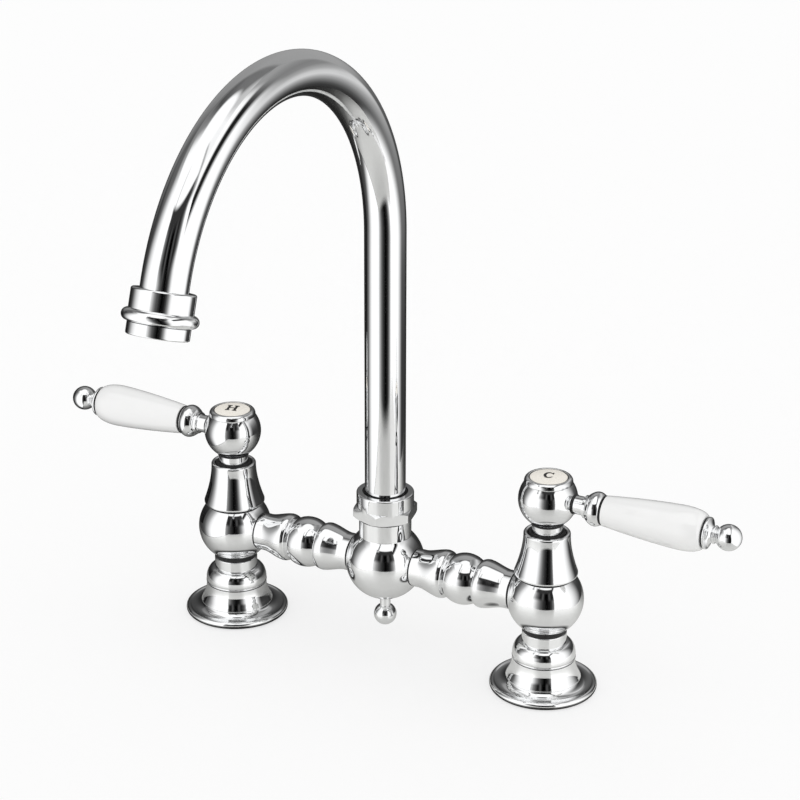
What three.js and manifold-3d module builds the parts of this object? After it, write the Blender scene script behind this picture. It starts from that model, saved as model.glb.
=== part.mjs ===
// Two-hole bridge kitchen faucet. Millimetres, +Z up, +X along the bridge towards the cold
// side, -Y towards the user. Each pillar carries a quarter-turn valve with a lever handle,
// two hollow turned arms join the pillars to the centre body, and the swan-neck spout turns
// on the centre body. Every turned piece is drawn as a profile of [radius, height] points.
import * as THREE from 'three';
import { mergeVertices } from 'three/addons/utils/BufferGeometryUtils.js';
import Module from 'manifold-3d';

const wasm = await Module();
wasm.setup();

// ---- Driving sizes ---------------------------------------------------------------------

// Layout
const PILLAR_SPACING = 200; // between the two pillar axes
const BRIDGE_HEIGHT = 54.3; // axis of the bridge above the deck
const SEAT_GAP = 0.3; // between faces that seat on one another
const FIT_GAP = 0.3; // around a spigot, thread or sleeve in its bore

// Foot of a pillar
const FLANGE_RADIUS = 30;
const FLANGE_THICKNESS = 4; // at the rim
const FLANGE_EDGE = 1.8; // rounding of the rim
const BELL_FOOT_RADIUS = 22.4; // where the sloping flange meets the bell
const BELL_FOOT_HEIGHT = 7.4;
const BELL_RADIUS = 17.75; // at the top of the bell
const BELL_HEIGHT = 18.3;
const FOOT_SEAL_RADIUS = 26; // outside of the seal
const FOOT_SEAL_WIDTH = 4;
const FOOT_SEAL_THICKNESS = 1.6;

// Sleeve inside the foot, where the supply tail screws in
const SLEEVE_RADIUS = 10.2;
const SLEEVE_OVERLAP = 6; // reach into the valve body
const INLET_RADIUS = 7;
const INLET_DEPTH = 16;
const WATERWAY_RADIUS = 2.6;

// Collar above the foot
const LIP_RADIUS = 17.95;
const LIP_HEIGHT = 2.2;
const BARREL_RADIUS = 17.4;
const BARREL_HEIGHT = 7.6;
const BARREL_SHOULDER = 3.4; // rounding of the barrel's top
const NECK_RADIUS = 12.45;

// Valve body
const BALL_RADIUS = 21.2;
const BALL_FOOT_RADIUS = 13.1; // ring under the ball
const BALL_FOOT_HEIGHT = 1.7;
const BALL_SEAT_RADIUS = 15; // flat on top, under the bonnet
const CHAMBER_RADIUS = 10.4;
const CHAMBER_DEPTH = 19;

// Headwork inside the bonnet
const CARTRIDGE_FLANGE_RADIUS = 11.5;
const CARTRIDGE_FLANGE_HEIGHT = 2.4;
const CARTRIDGE_BORE = 7.4; // room for the discs
const WINDOW_HEIGHT = 3;
const WINDOW_WIDTH = 6;
const SEAT_SEAL_THICKNESS = 1;
const SEAT_SEAL_WIDTH = 2.4;
const DISC_THICKNESS = 3;
const DISC_PORT_RADIUS = 1.5;
const DISC_PORT_OFFSET = 3.6;
const SPINDLE_HEAD_HEIGHT = 4;
const SPINDLE_RADIUS = 5;
const SPLINE_RADIUS = 4.3;

// Bonnet
const BONNET_FOOT_RADIUS = 17.5;
const BONNET_FOOT_HEIGHT = 2.2; // up to the widest place of the lower lip
const BONNET_TOP_RADIUS = 13.3;
const BONNET_HEIGHT = 25.4;
const BONNET_EDGE = 1.9; // rounding of the top edge
const BONNET_MOUTH_RADIUS = 11.2;
const BONNET_MOUTH_DEPTH = 4;
const BONNET_WALL = 1.3; // at the waist, outside the room for the headwork

// Handle hub
const HUB_RADIUS = 16.3;
const HUB_NECK_RADIUS = 8.4;
const HUB_NECK_SHOW = 5.3; // between bonnet and ball
const HUB_NECK_SINK = 3.4; // reach into the bonnet's mouth
const HUB_FLAT_RADIUS = 12.3; // flat on top, under the bezel
const HUB_RECESS_RADIUS = 9.5;
const HUB_RECESS_DEPTH = 6.8;
const HUB_WEB = 7; // material between the recess and the spindle's socket
const SCREW_HEAD_RADIUS = 4.2;
const SCREW_HEAD_HEIGHT = 2.4;
const SCREW_RADIUS = 2.1;
const SCREW_REACH = 9; // length inside the spindle

// Index on top of the hub
const BEZEL_RADIUS = 13;
const BEZEL_HEIGHT = 2.1;
const BEZEL_BOSS_HEIGHT = 2.6;
const BEZEL_BORE = 7;
const INDEX_RADIUS = 10.2;
const INDEX_THICKNESS = 1.3;

// Lever, measured outward from the hub's axis
const STUB_RADIUS = 5.1;
const STEP_RADIUS = 6.3;
const STEP_START = 22;
const STEP_WIDTH = 1.7;
const FERRULE_BEAD_RADIUS = 9.5;
const FERRULE_BEAD_WIDTH = 8;
const FERRULE_END = 32.4;
const SPIGOT_IN_HUB = 6; // length inside the hub ball
const SPIGOT_IN_HUB_RADIUS = 4.2;
const WASHER_THICKNESS = 0.6;
const WASHER_RADIUS = 8.2;
const GRIP_LENGTH = 56.6;
const GRIP_NEAR_RADIUS = 8.4;
const GRIP_RADIUS = 12; // at its widest
const GRIP_WIDEST_AT = 44.6; // from the near end
const GRIP_FAR_RADIUS = 8.5;
const ROD_RADIUS = 2.2;
const ROD_ENGAGEMENT = 8; // in the ferrule and in the finial
const FINIAL_COLLAR_RADIUS = 8.65;
const FINIAL_COLLAR_WIDTH = 1.6;
const FINIAL_NECK_RADIUS = 4.4;
const FINIAL_NECK_AT = 6; // from the finial's near end
const FINIAL_BALL_RADIUS = 7.1;
const FINIAL_BALL_AT = 12.1;

// Bridge arms
const ARM_RADIUS = 9.8;
const ARM_RIDGE_RADIUS = 13.3;
const ARM_RIDGE_WIDTH = 3.2; // from the groove to the top of the ridge
const ARM_FLARE = 10.5;
const ARM_BALL_RADIUS = 14.6;
const ARM_BALL_HALF_WIDTH = 9;
const ARM_BORE = 5.5;
const ARM_SPIGOT_RADIUS = 8;
const ARM_SPIGOT_REACH = 7.5; // inside the centre ball
const ARM_SPIGOT_GAP = 0.9; // from the valve chamber
const ARM_SADDLE = 2; // length of the blank that the balls hollow out

// Centre body
const CENTRE_BALL_RADIUS = 22.4;
const CENTRE_NECK_RADIUS = 14.8;
const CENTRE_NECK_TOP = 82; // above the deck
const CENTRE_THREAD_RADIUS = 14;
const CENTRE_THREAD_HEIGHT = 8.6;
const CENTRE_WATERWAY_RADIUS = 6;
const SPOUT_BORE = 12.5;
const SPOUT_BORE_DEPTH = 26; // below the top of the thread

// Small knob under the centre body
const KNOB_RADIUS = 6.5;
const KNOB_STEM_RADIUS = 3;
const KNOB_STEM_LENGTH = 4.4; // between ball and foot
const KNOB_FOOT_RADIUS = 4.6;
const KNOB_FOOT_HEIGHT = 1.1;
const KNOB_THREAD_RADIUS = 2.3;
const KNOB_THREAD_LENGTH = 8;

// Union nut and bearing
const NUT_CORNER_RADIUS = 18.6;
const NUT_HEX_HEIGHT = 6.8;
const NUT_CHAMFER = 1.2;
const NUT_TURN = 11.5; // degrees, from the front towards the cold side
const NUT_COLLAR_RADIUS = 16.2;
const NUT_COLLAR_HEIGHT = 8.4;
const NUT_COLLAR_EDGE = 0.8;
const NUT_LIP_HEIGHT = 2.8;
const NUT_LIP_GAP = 1.4; // open ring between nut and spout
const BUSH_HEIGHT = 3.4;

// Spout
const SPOUT_RADIUS = 11.5;
const SPOUT_WALL = 1.5;
const SPOUT_BEND_START = 250; // above the deck
const SPOUT_BEND_RADIUS = 109;
const SPOUT_BEND_ANGLE = 161; // degrees
const SPOUT_END_LENGTH = 12.5; // straight, after the bend
const SPOUT_TUBE_SINK = 1.5; // below the top of the nut
const TAILPIECE_SPIGOT = 8; // reach into the tube
const TAILPIECE_WALL = 2.4;
const TAILPIECE_END_GAP = 1; // above the floor of the bore
const CIRCLIP_THICKNESS = 1.2;
const CIRCLIP_DEPTH = 1;
const CIRCLIP_RADIUS = 12.1;
const O_RING_SECTION = 0.95; // radius of the section
const O_RING_RADIUS = 11.2; // middle of the section
const O_RING_SPACING = 9;
const O_RING_GROOVE_RADIUS = 9.9;

// Spout tip, measured along the flow from the end of the bend
const TIP_START = 2.8;
const TIP_COLLAR_RADIUS = 15.35;
const TIP_COLLAR_LENGTH = 9.8;
const TIP_COLLAR_EDGE = 1;
const TIP_BEAD_SECTION = 3;
const TIP_BEAD_RADIUS = 18.2;
const TIP_THREAD_RADIUS = 13;
const HOUSING_RADIUS = 15;
const HOUSING_LENGTH = 5.8;
const HOUSING_EDGE = 0.8;
const HOUSING_BORE = 11.2;
const OUTLET_RADIUS = 10.4;
const OUTLET_DEPTH = 4.9;
const INSERT_THICKNESS = 4.3;
const INSERT_HOLE_RADIUS = 1.3;
const INSERT_HOLE_CIRCLE = 6.2;
const INSERT_HOLE_COUNT = 6;
const AERATOR_WASHER_THICKNESS = 1;
const AERATOR_WASHER_WIDTH = 3;

// Facets
const ROUND = 16; // around a turned piece
const FINE = 12; // around a small one
const TINY = 8; // around a screw or rod
const TUBE_SIDES = 14; // around the spout
const BEND_STEPS = 18; // along the spout's bend

// ---- Shape helpers ---------------------------------------------------------------------

// Points on an arc from angle a to angle b, in degrees, both ends included.
function arc(centreRadius, centreHeight, radius, a, b, steps) {
  const points = [];
  for (let i = 0; i <= steps; i += 1) {
    const t = THREE.MathUtils.degToRad(a + ((b - a) * i) / steps);
    points.push([centreRadius + radius * Math.cos(t), centreHeight + radius * Math.sin(t)]);
  }
  return points;
}

// Points on a curve between two heights, both ends included; radiusAt takes 0 to 1.
function sweep(from, to, steps, radiusAt) {
  const points = [];
  for (let i = 0; i <= steps; i += 1) {
    const t = i / steps;
    points.push([radiusAt(t), from + (to - from) * t]);
  }
  return points;
}

// Half-chord of a circle at a distance from its centre, or the distance of a half-chord.
function chord(radius, offset) {
  return Math.sqrt(radius * radius - offset * offset);
}

// Angle, in degrees, of a point on a circle that lies at this distance from the axis.
function angleAt(radius, fromAxis) {
  return THREE.MathUtils.radToDeg(Math.acos(fromAxis / radius));
}

// A three.js geometry as a manifold solid.
function solid(geometry) {
  const bare = geometry.clone();
  bare.deleteAttribute('normal');
  bare.deleteAttribute('uv');
  const welded = mergeVertices(bare, 1e-5);
  const index = welded.index.array;
  const kept = [];
  for (let i = 0; i < index.length; i += 3) {
    const [a, b, c] = [index[i], index[i + 1], index[i + 2]];
    if (a !== b && b !== c && c !== a) {
      kept.push(a, b, c);
    }
  }
  return new wasm.Manifold(new wasm.Mesh({
    numProp: 3,
    vertProperties: new Float32Array(welded.attributes.position.array),
    triVerts: new Uint32Array(kept),
  }));
}

// A turned solid about Z. The profile runs counter-clockwise in radius and height, and
// starts and ends on the axis or closes on itself.
function turned(profile, segments = ROUND) {
  const first = profile[0];
  const last = profile[profile.length - 1];
  const open = first[0] > 0 || last[0] > 0;
  const closed = open ? [...profile, first] : profile;
  const points = closed.map(([r, z]) => new THREE.Vector2(r, z));
  return solid(new THREE.LatheGeometry(points, segments).rotateX(Math.PI / 2));
}

// A plain cylinder about Z between two heights.
function cylinder(radius, from, to, segments = ROUND) {
  return turned([[0, from], [radius, from], [radius, to], [0, to]], segments);
}

// A ring about Z between two heights.
function ring(inner, outer, from, to, segments = ROUND) {
  return turned([[inner, from], [outer, from], [outer, to], [inner, to]], segments);
}

function ball(radius, height, segments = ROUND) {
  const steps = Math.round(segments / 2);
  const profile = arc(0, height, radius, -90, 90, steps);
  profile[0][0] = 0;
  profile[steps][0] = 0;
  return turned(profile, segments);
}

// A solid turned about Z, laid along +X at a height above the deck.
function alongX(body, height) {
  return body.rotate([0, 90, 0]).translate([0, 0, height]);
}

// A solid back to a three.js geometry with flat faces.
function geometryOf(body) {
  const mesh = body.getMesh();
  const geometry = new THREE.BufferGeometry();
  const positions = new THREE.BufferAttribute(new Float32Array(mesh.vertProperties), 3);
  geometry.setAttribute('position', positions);
  geometry.setIndex(new THREE.BufferAttribute(new Uint32Array(mesh.triVerts), 1));
  return geometry;
}

// ---- Materials -------------------------------------------------------------------------

const FINISHES = {
  chrome: { color: 0xc9ccd0, roughness: 0.08, metalness: 1 },
  brass: { color: 0xb5954f, roughness: 0.35, metalness: 1 },
  porcelain: { color: 0xf4f4f2, roughness: 0.12, metalness: 0 },
  index: { color: 0xf0ead8, roughness: 0.3, metalness: 0 },
  ceramic: { color: 0xe6e3dc, roughness: 0.4, metalness: 0 },
  rubber: { color: 0x1c1c1d, roughness: 0.8, metalness: 0 },
  plastic: { color: 0x55585c, roughness: 0.5, metalness: 0 },
};

function piece(name, body, finish) {
  const material = new THREE.MeshStandardMaterial(FINISHES[finish]);
  const mesh = new THREE.Mesh(geometryOf(body), material);
  mesh.name = name;
  return mesh;
}

// ---- Heights in a pillar ---------------------------------------------------------------

const sleeveBore = SLEEVE_RADIUS + FIT_GAP;
const collarFoot = BELL_HEIGHT + SEAT_GAP;
const barrelFoot = collarFoot + LIP_HEIGHT;
const barrelTop = barrelFoot + BARREL_HEIGHT;
const ballFootTop = BRIDGE_HEIGHT - chord(BALL_RADIUS, BALL_FOOT_RADIUS);
const ballFoot = ballFootTop - BALL_FOOT_HEIGHT;
const collarTop = ballFoot - SEAT_GAP;
const sleeveTop = ballFoot + SLEEVE_OVERLAP;
const ballSeat = BRIDGE_HEIGHT + chord(BALL_RADIUS, BALL_SEAT_RADIUS);
const chamberFloor = ballSeat - CHAMBER_DEPTH;
const armPort = ARM_SPIGOT_RADIUS + FIT_GAP;

const bonnetFoot = ballSeat + SEAT_GAP;
const bonnetTop = bonnetFoot + BONNET_HEIGHT;
const hubNeckFoot = bonnetTop - HUB_NECK_SINK;
const hubCentre = bonnetTop + HUB_NECK_SHOW + chord(HUB_RADIUS, HUB_NECK_RADIUS);
const hubTop = hubCentre + chord(HUB_RADIUS, HUB_FLAT_RADIUS);
const recessFloor = hubTop - HUB_RECESS_DEPTH;
const socketTop = recessFloor - HUB_WEB;

const sealFoot = chamberFloor + SEAT_GAP;
const discRadius = CARTRIDGE_BORE - FIT_GAP;
const fixedFoot = sealFoot + SEAT_SEAL_THICKNESS + SEAT_GAP;
const movingFoot = fixedFoot + DISC_THICKNESS + SEAT_GAP;
const spindleFoot = movingFoot + DISC_THICKNESS + SEAT_GAP;
const spindleHeadTop = spindleFoot + SPINDLE_HEAD_HEIGHT;
const discRoomTop = spindleHeadTop + SEAT_GAP;
const cartridgeTop = hubNeckFoot - SEAT_GAP;
const spindleTop = socketTop - SEAT_GAP;

// ---- Pieces of a pillar ----------------------------------------------------------------

function footSeal() {
  const inner = FOOT_SEAL_RADIUS - FOOT_SEAL_WIDTH;
  const foot = SEAT_GAP;
  return ring(inner, FOOT_SEAL_RADIUS, foot, foot + FOOT_SEAL_THICKNESS);
}

function footFlange() {
  const grooveInner = FOOT_SEAL_RADIUS - FOOT_SEAL_WIDTH - FIT_GAP;
  const grooveOuter = FOOT_SEAL_RADIUS + FIT_GAP;
  const grooveTop = FOOT_SEAL_THICKNESS + SEAT_GAP * 2;
  const rim = FLANGE_RADIUS - FLANGE_EDGE;
  const flare = BELL_FOOT_RADIUS - BELL_RADIUS;
  const bellEnd = BELL_HEIGHT - BELL_FOOT_HEIGHT;
  return turned([
    [sleeveBore, 0],
    [grooveInner, 0],
    [grooveInner, grooveTop],
    [grooveOuter, grooveTop],
    [grooveOuter, 0],
    ...arc(rim, FLANGE_EDGE, FLANGE_EDGE, -90, 0, 2),
    ...arc(rim, FLANGE_THICKNESS - FLANGE_EDGE, FLANGE_EDGE, 0, 90, 2),
    ...sweep(BELL_FOOT_HEIGHT, BELL_FOOT_HEIGHT + bellEnd, 5, (t) =>
      BELL_RADIUS + flare * (1 - t) ** 3),
    [sleeveBore, BELL_HEIGHT],
  ]);
}

function inletSleeve() {
  return turned([
    [INLET_RADIUS, SEAT_GAP],
    [SLEEVE_RADIUS, SEAT_GAP],
    [SLEEVE_RADIUS, sleeveTop],
    [WATERWAY_RADIUS, sleeveTop],
    [WATERWAY_RADIUS, INLET_DEPTH],
    [INLET_RADIUS, INLET_DEPTH],
  ]);
}

function pillarCollar() {
  const lipMiddle = collarFoot + LIP_HEIGHT / 2;
  const lipBulge = LIP_RADIUS - LIP_HEIGHT / 2;
  const shoulder = BARREL_RADIUS - BARREL_SHOULDER;
  return turned([
    [sleeveBore, collarFoot],
    ...arc(lipBulge, lipMiddle, LIP_HEIGHT / 2, -90, 90, 3),
    [BARREL_RADIUS, barrelFoot + SEAT_GAP],
    ...arc(shoulder, barrelTop - BARREL_SHOULDER, BARREL_SHOULDER, 0, 90, 3),
    [NECK_RADIUS, barrelTop],
    [NECK_RADIUS, collarTop],
    [sleeveBore, collarTop],
  ]);
}

// The round of the valve body at a distance outside its surface, foot and seat left open.
function ballRound(outside = 0) {
  const low = -angleAt(BALL_RADIUS, BALL_FOOT_RADIUS);
  const high = angleAt(BALL_RADIUS, BALL_SEAT_RADIUS);
  return arc(0, BRIDGE_HEIGHT, BALL_RADIUS + outside, low, high, 8);
}

function valveBody() {
  const body = turned([
    [0, ballFoot],
    [BALL_FOOT_RADIUS, ballFoot],
    ...ballRound(),
    [0, ballSeat],
  ]);
  const sleeveSocket = cylinder(sleeveBore, ballFoot - 1, sleeveTop + SEAT_GAP);
  const waterway = cylinder(WATERWAY_RADIUS, sleeveTop, chamberFloor + 1, TINY);
  const chamber = cylinder(CHAMBER_RADIUS, chamberFloor, ballSeat + 1);
  const port = alongX(
    cylinder(armPort, -BALL_RADIUS - 1, -CHAMBER_RADIUS + 1, FINE), BRIDGE_HEIGHT);
  return body.subtract(sleeveSocket).subtract(waterway).subtract(chamber).subtract(port);
}

function seatSeal() {
  const top = sealFoot + SEAT_SEAL_THICKNESS;
  return ring(discRadius - SEAT_SEAL_WIDTH, discRadius, sealFoot, top);
}

function cartridgeBody() {
  const radius = CHAMBER_RADIUS - FIT_GAP;
  const flangeFoot = ballSeat + SEAT_GAP;
  const flangeTop = flangeFoot + CARTRIDGE_FLANGE_HEIGHT;
  const spindleBore = SPINDLE_RADIUS + FIT_GAP;
  const shell = turned([
    [CARTRIDGE_BORE, sealFoot],
    [radius, sealFoot],
    [radius, flangeFoot],
    [CARTRIDGE_FLANGE_RADIUS, flangeFoot],
    [CARTRIDGE_FLANGE_RADIUS, flangeTop],
    [radius, flangeTop],
    [radius, cartridgeTop],
    [spindleBore, cartridgeTop],
    [spindleBore, discRoomTop],
    [CARTRIDGE_BORE, discRoomTop],
  ]);
  const opening = new THREE.BoxGeometry(radius * 3, WINDOW_WIDTH, WINDOW_HEIGHT);
  opening.translate(0, 0, spindleFoot + WINDOW_HEIGHT / 2);
  return shell.subtract(solid(opening));
}

// A ceramic disc with two ports on one line through its middle; turn is in degrees.
function ceramicDisc(foot, turn) {
  const port = cylinder(DISC_PORT_RADIUS, foot - 1, foot + DISC_THICKNESS + 1, TINY);
  const disc = cylinder(discRadius, foot, foot + DISC_THICKNESS)
    .subtract(port.translate([DISC_PORT_OFFSET, 0, 0]))
    .subtract(port.translate([-DISC_PORT_OFFSET, 0, 0]));
  return disc.rotate([0, 0, turn]);
}

function spindle() {
  const body = turned([
    [0, spindleFoot],
    [discRadius, spindleFoot],
    [discRadius, spindleHeadTop],
    [SPINDLE_RADIUS, spindleHeadTop],
    [SPINDLE_RADIUS, cartridgeTop],
    [SPLINE_RADIUS, cartridgeTop],
    [SPLINE_RADIUS, spindleTop],
    [0, spindleTop],
  ], FINE);
  const threadFoot = spindleTop - SCREW_REACH - SEAT_GAP;
  return body.subtract(cylinder(SCREW_RADIUS + FIT_GAP, threadFoot, spindleTop + 1, TINY));
}

function bonnet() {
  const lipTop = bonnetFoot + BONNET_FOOT_HEIGHT;
  const edgeFoot = bonnetTop - BONNET_EDGE;
  const drop = BONNET_FOOT_RADIUS - BONNET_TOP_RADIUS;
  const room = BONNET_TOP_RADIUS - BONNET_WALL;
  return turned([
    [room, bonnetFoot],
    [BONNET_FOOT_RADIUS - BONNET_FOOT_HEIGHT / 2, bonnetFoot],
    ...sweep(lipTop, edgeFoot, 6, (t) => BONNET_TOP_RADIUS + drop * (1 - t) ** 1.75),
    ...arc(BONNET_TOP_RADIUS - BONNET_EDGE, edgeFoot, BONNET_EDGE, 30, 90, 2),
    [BONNET_MOUTH_RADIUS, bonnetTop],
    [BONNET_MOUTH_RADIUS, bonnetTop - BONNET_MOUTH_DEPTH],
    [room, bonnetTop - BONNET_MOUTH_DEPTH],
  ]);
}

function hubBall() {
  const low = -angleAt(HUB_RADIUS, HUB_NECK_RADIUS);
  const high = angleAt(HUB_RADIUS, HUB_FLAT_RADIUS);
  const body = turned([
    [0, hubNeckFoot],
    [HUB_NECK_RADIUS, hubNeckFoot],
    ...arc(0, hubCentre, HUB_RADIUS, low, high, 7),
    [0, hubTop],
  ]);
  const socket = cylinder(SPLINE_RADIUS + FIT_GAP, hubNeckFoot - 1, socketTop, FINE);
  const hole = cylinder(SCREW_RADIUS + FIT_GAP, socketTop - 1, recessFloor + 1, TINY);
  const recess = cylinder(HUB_RECESS_RADIUS, recessFloor, hubTop + 1);
  const portFoot = HUB_RADIUS - SPIGOT_IN_HUB - SEAT_GAP;
  const port = cylinder(SPIGOT_IN_HUB_RADIUS + FIT_GAP, portFoot, HUB_RADIUS + 1, FINE);
  return body.subtract(socket).subtract(hole).subtract(recess)
    .subtract(alongX(port, hubCentre));
}

function handleScrew() {
  const headFoot = recessFloor + SEAT_GAP;
  const end = spindleTop - SCREW_REACH;
  return turned([
    [0, end],
    [SCREW_RADIUS, end],
    [SCREW_RADIUS, headFoot],
    [SCREW_HEAD_RADIUS, headFoot],
    [SCREW_HEAD_RADIUS, headFoot + SCREW_HEAD_HEIGHT],
    [0, headFoot + SCREW_HEAD_HEIGHT],
  ], TINY);
}

const bezelFoot = hubTop + SEAT_GAP;
const bezelTop = bezelFoot + BEZEL_HEIGHT;
const indexTop = bezelTop - FIT_GAP / 3;
const indexFoot = indexTop - INDEX_THICKNESS;

function indexBezel() {
  const boss = HUB_RECESS_RADIUS - FIT_GAP;
  const edge = BEZEL_HEIGHT / 2;
  const middle = bezelFoot + edge;
  return turned([
    [BEZEL_BORE, bezelFoot - BEZEL_BOSS_HEIGHT],
    [boss, bezelFoot - BEZEL_BOSS_HEIGHT],
    [boss, bezelFoot],
    ...arc(BEZEL_RADIUS - edge, middle, edge, -90, 90, 3),
    [INDEX_RADIUS + FIT_GAP, bezelTop],
    [INDEX_RADIUS + FIT_GAP, indexFoot - SEAT_GAP],
    [BEZEL_BORE, indexFoot - SEAT_GAP],
  ]);
}

function indexDisc() {
  return cylinder(INDEX_RADIUS, indexFoot, indexTop);
}

// ---- Pieces of a lever -----------------------------------------------------------------

const gripStart = FERRULE_END + WASHER_THICKNESS + SEAT_GAP * 2;
const gripEnd = gripStart + GRIP_LENGTH;
const finialStart = gripEnd + WASHER_THICKNESS + SEAT_GAP * 2;
const rodBore = ROD_RADIUS + FIT_GAP;
const rodStart = FERRULE_END - ROD_ENGAGEMENT;
const rodEnd = finialStart + ROD_ENGAGEMENT;

function leverFerrule() {
  const shoulder = HUB_RADIUS - 2;
  const half = FERRULE_BEAD_WIDTH / 2;
  const middle = FERRULE_END - half;
  const bulge = FERRULE_BEAD_RADIUS - STEP_RADIUS;
  const outside = turned([
    [0, shoulder],
    [STUB_RADIUS, shoulder],
    [STUB_RADIUS, STEP_START],
    [STEP_RADIUS, STEP_START],
    [STEP_RADIUS, STEP_START + STEP_WIDTH],
    ...sweep(middle - half, FERRULE_END, 5, (t) =>
      STEP_RADIUS + bulge * Math.sin((0.12 + 0.7 * t) * Math.PI)),
    [0, FERRULE_END],
  ]);
  const saddle = ball(HUB_RADIUS + SEAT_GAP, 0);
  const spigotFoot = HUB_RADIUS - SPIGOT_IN_HUB;
  const spigot = cylinder(SPIGOT_IN_HUB_RADIUS, spigotFoot, STEP_START, FINE);
  const bore = cylinder(rodBore, rodStart - SEAT_GAP, FERRULE_END + 1, TINY);
  return alongX(outside.subtract(saddle).add(spigot).subtract(bore), hubCentre);
}

function leverWasher(from) {
  return alongX(ring(rodBore, WASHER_RADIUS, from, from + WASHER_THICKNESS, FINE), hubCentre);
}

function leverGrip() {
  const widest = gripStart + GRIP_WIDEST_AT;
  const swell = GRIP_RADIUS - GRIP_NEAR_RADIUS;
  const fall = GRIP_RADIUS - GRIP_FAR_RADIUS;
  return alongX(turned([
    [rodBore, gripStart],
    ...sweep(gripStart, widest, 4, (t) => GRIP_RADIUS - swell * (1 - t) ** 1.5),
    ...sweep(widest, gripEnd, 5, (t) => GRIP_FAR_RADIUS + fall * Math.sqrt(1 - t * t)).slice(1),
    [rodBore, gripEnd],
  ]), hubCentre);
}

function leverFinial() {
  const neck = finialStart + FINIAL_NECK_AT;
  const centre = finialStart + FINIAL_BALL_AT;
  const start = -angleAt(FINIAL_BALL_RADIUS, FINIAL_NECK_RADIUS);
  const body = turned([
    [0, finialStart],
    [FINIAL_COLLAR_RADIUS, finialStart],
    [FINIAL_COLLAR_RADIUS, finialStart + FINIAL_COLLAR_WIDTH],
    [FINIAL_NECK_RADIUS, neck - FINIAL_COLLAR_WIDTH],
    ...arc(0, centre, FINIAL_BALL_RADIUS, start, 90, 6).slice(0, -1),
    [0, centre + FINIAL_BALL_RADIUS],
  ], FINE);
  const bore = cylinder(rodBore, finialStart - 1, rodEnd + SEAT_GAP, TINY);
  return alongX(body.subtract(bore), hubCentre);
}

function leverRod() {
  return alongX(cylinder(ROD_RADIUS, rodStart, rodEnd, TINY), hubCentre);
}

// Everything of one pillar, with its lever along +X and its bridge port facing -X.
function pillar(side) {
  const group = new THREE.Group();
  const washerInner = FERRULE_END + SEAT_GAP;
  const washerOuter = gripEnd + SEAT_GAP;
  group.add(
    piece(`${side}_foot_seal`, footSeal(), 'rubber'),
    piece(`${side}_foot_flange`, footFlange(), 'chrome'),
    piece(`${side}_inlet_sleeve`, inletSleeve(), 'brass'),
    piece(`${side}_pillar_collar`, pillarCollar(), 'chrome'),
    piece(`${side}_valve_body`, valveBody(), 'chrome'),
    piece(`${side}_seat_seal`, seatSeal(), 'rubber'),
    piece(`${side}_cartridge_body`, cartridgeBody(), 'brass'),
    piece(`${side}_disc_fixed`, ceramicDisc(fixedFoot, 0), 'ceramic'),
    piece(`${side}_disc_moving`, ceramicDisc(movingFoot, 90), 'ceramic'),
    piece(`${side}_spindle`, spindle(), 'brass'),
    piece(`${side}_bonnet`, bonnet(), 'chrome'),
    piece(`${side}_hub_ball`, hubBall(), 'chrome'),
    piece(`${side}_handle_screw`, handleScrew(), 'brass'),
    piece(`${side}_index_bezel`, indexBezel(), 'chrome'),
    piece(`${side}_index_disc`, indexDisc(), 'index'),
    piece(`${side}_lever_ferrule`, leverFerrule(), 'chrome'),
    piece(`${side}_lever_washer_inner`, leverWasher(washerInner), 'rubber'),
    piece(`${side}_lever_grip`, leverGrip(), 'porcelain'),
    piece(`${side}_lever_washer_outer`, leverWasher(washerOuter), 'rubber'),
    piece(`${side}_lever_finial`, leverFinial(), 'chrome'),
    piece(`${side}_lever_rod`, leverRod(), 'brass'),
  );
  return group;
}

// ---- Bridge ----------------------------------------------------------------------------

// One hollow arm along +X, from the centre ball to the ball of a pillar.
function bridgeArm() {
  const far = PILLAR_SPACING / 2;
  const middle = (CENTRE_BALL_RADIUS + far - BALL_RADIUS) / 2;
  const groove = chord(ARM_BALL_RADIUS, ARM_BALL_HALF_WIDTH);
  const start = -angleAt(ARM_BALL_RADIUS, groove);
  const ridge = ARM_BALL_HALF_WIDTH + ARM_RIDGE_WIDTH;
  const rise = ARM_RIDGE_RADIUS - ARM_RADIUS;
  const flare = sweep(middle - ridge - ARM_FLARE, middle - ridge, 4, (t) =>
    ARM_RADIUS + rise * Math.sin((t * Math.PI) / 2) ** 2);
  const mirrored = flare.map(([r, x]) => [r, 2 * middle - x]).reverse();
  const near = chord(CENTRE_BALL_RADIUS, ARM_RADIUS);
  const end = far - chord(BALL_RADIUS, ARM_RADIUS);
  const outside = alongX(turned([
    [0, near - ARM_SADDLE],
    [ARM_RADIUS, near - ARM_SADDLE],
    ...flare,
    ...arc(0, middle, ARM_BALL_RADIUS, start, -start, 5),
    ...mirrored,
    [ARM_RADIUS, end + ARM_SADDLE],
    [0, end + ARM_SADDLE],
  ]), BRIDGE_HEIGHT);
  const nearSaddle = turned([...centreRound(SEAT_GAP), [0, CENTRE_NECK_TOP]]);
  const farRound = ballRound(SEAT_GAP);
  const farSaddle = turned([
    [0, farRound[0][1]],
    ...farRound,
    [0, farRound[farRound.length - 1][1]],
  ]).translate([far, 0, 0]);
  const from = near - ARM_SPIGOT_REACH;
  const to = far - CHAMBER_RADIUS - ARM_SPIGOT_GAP;
  const spigot = alongX(cylinder(ARM_SPIGOT_RADIUS, from, to, FINE), BRIDGE_HEIGHT);
  const bore = alongX(cylinder(ARM_BORE, from - 1, to + 1, FINE), BRIDGE_HEIGHT);
  return outside.subtract(nearSaddle).subtract(farSaddle).add(spigot).subtract(bore);
}

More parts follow.
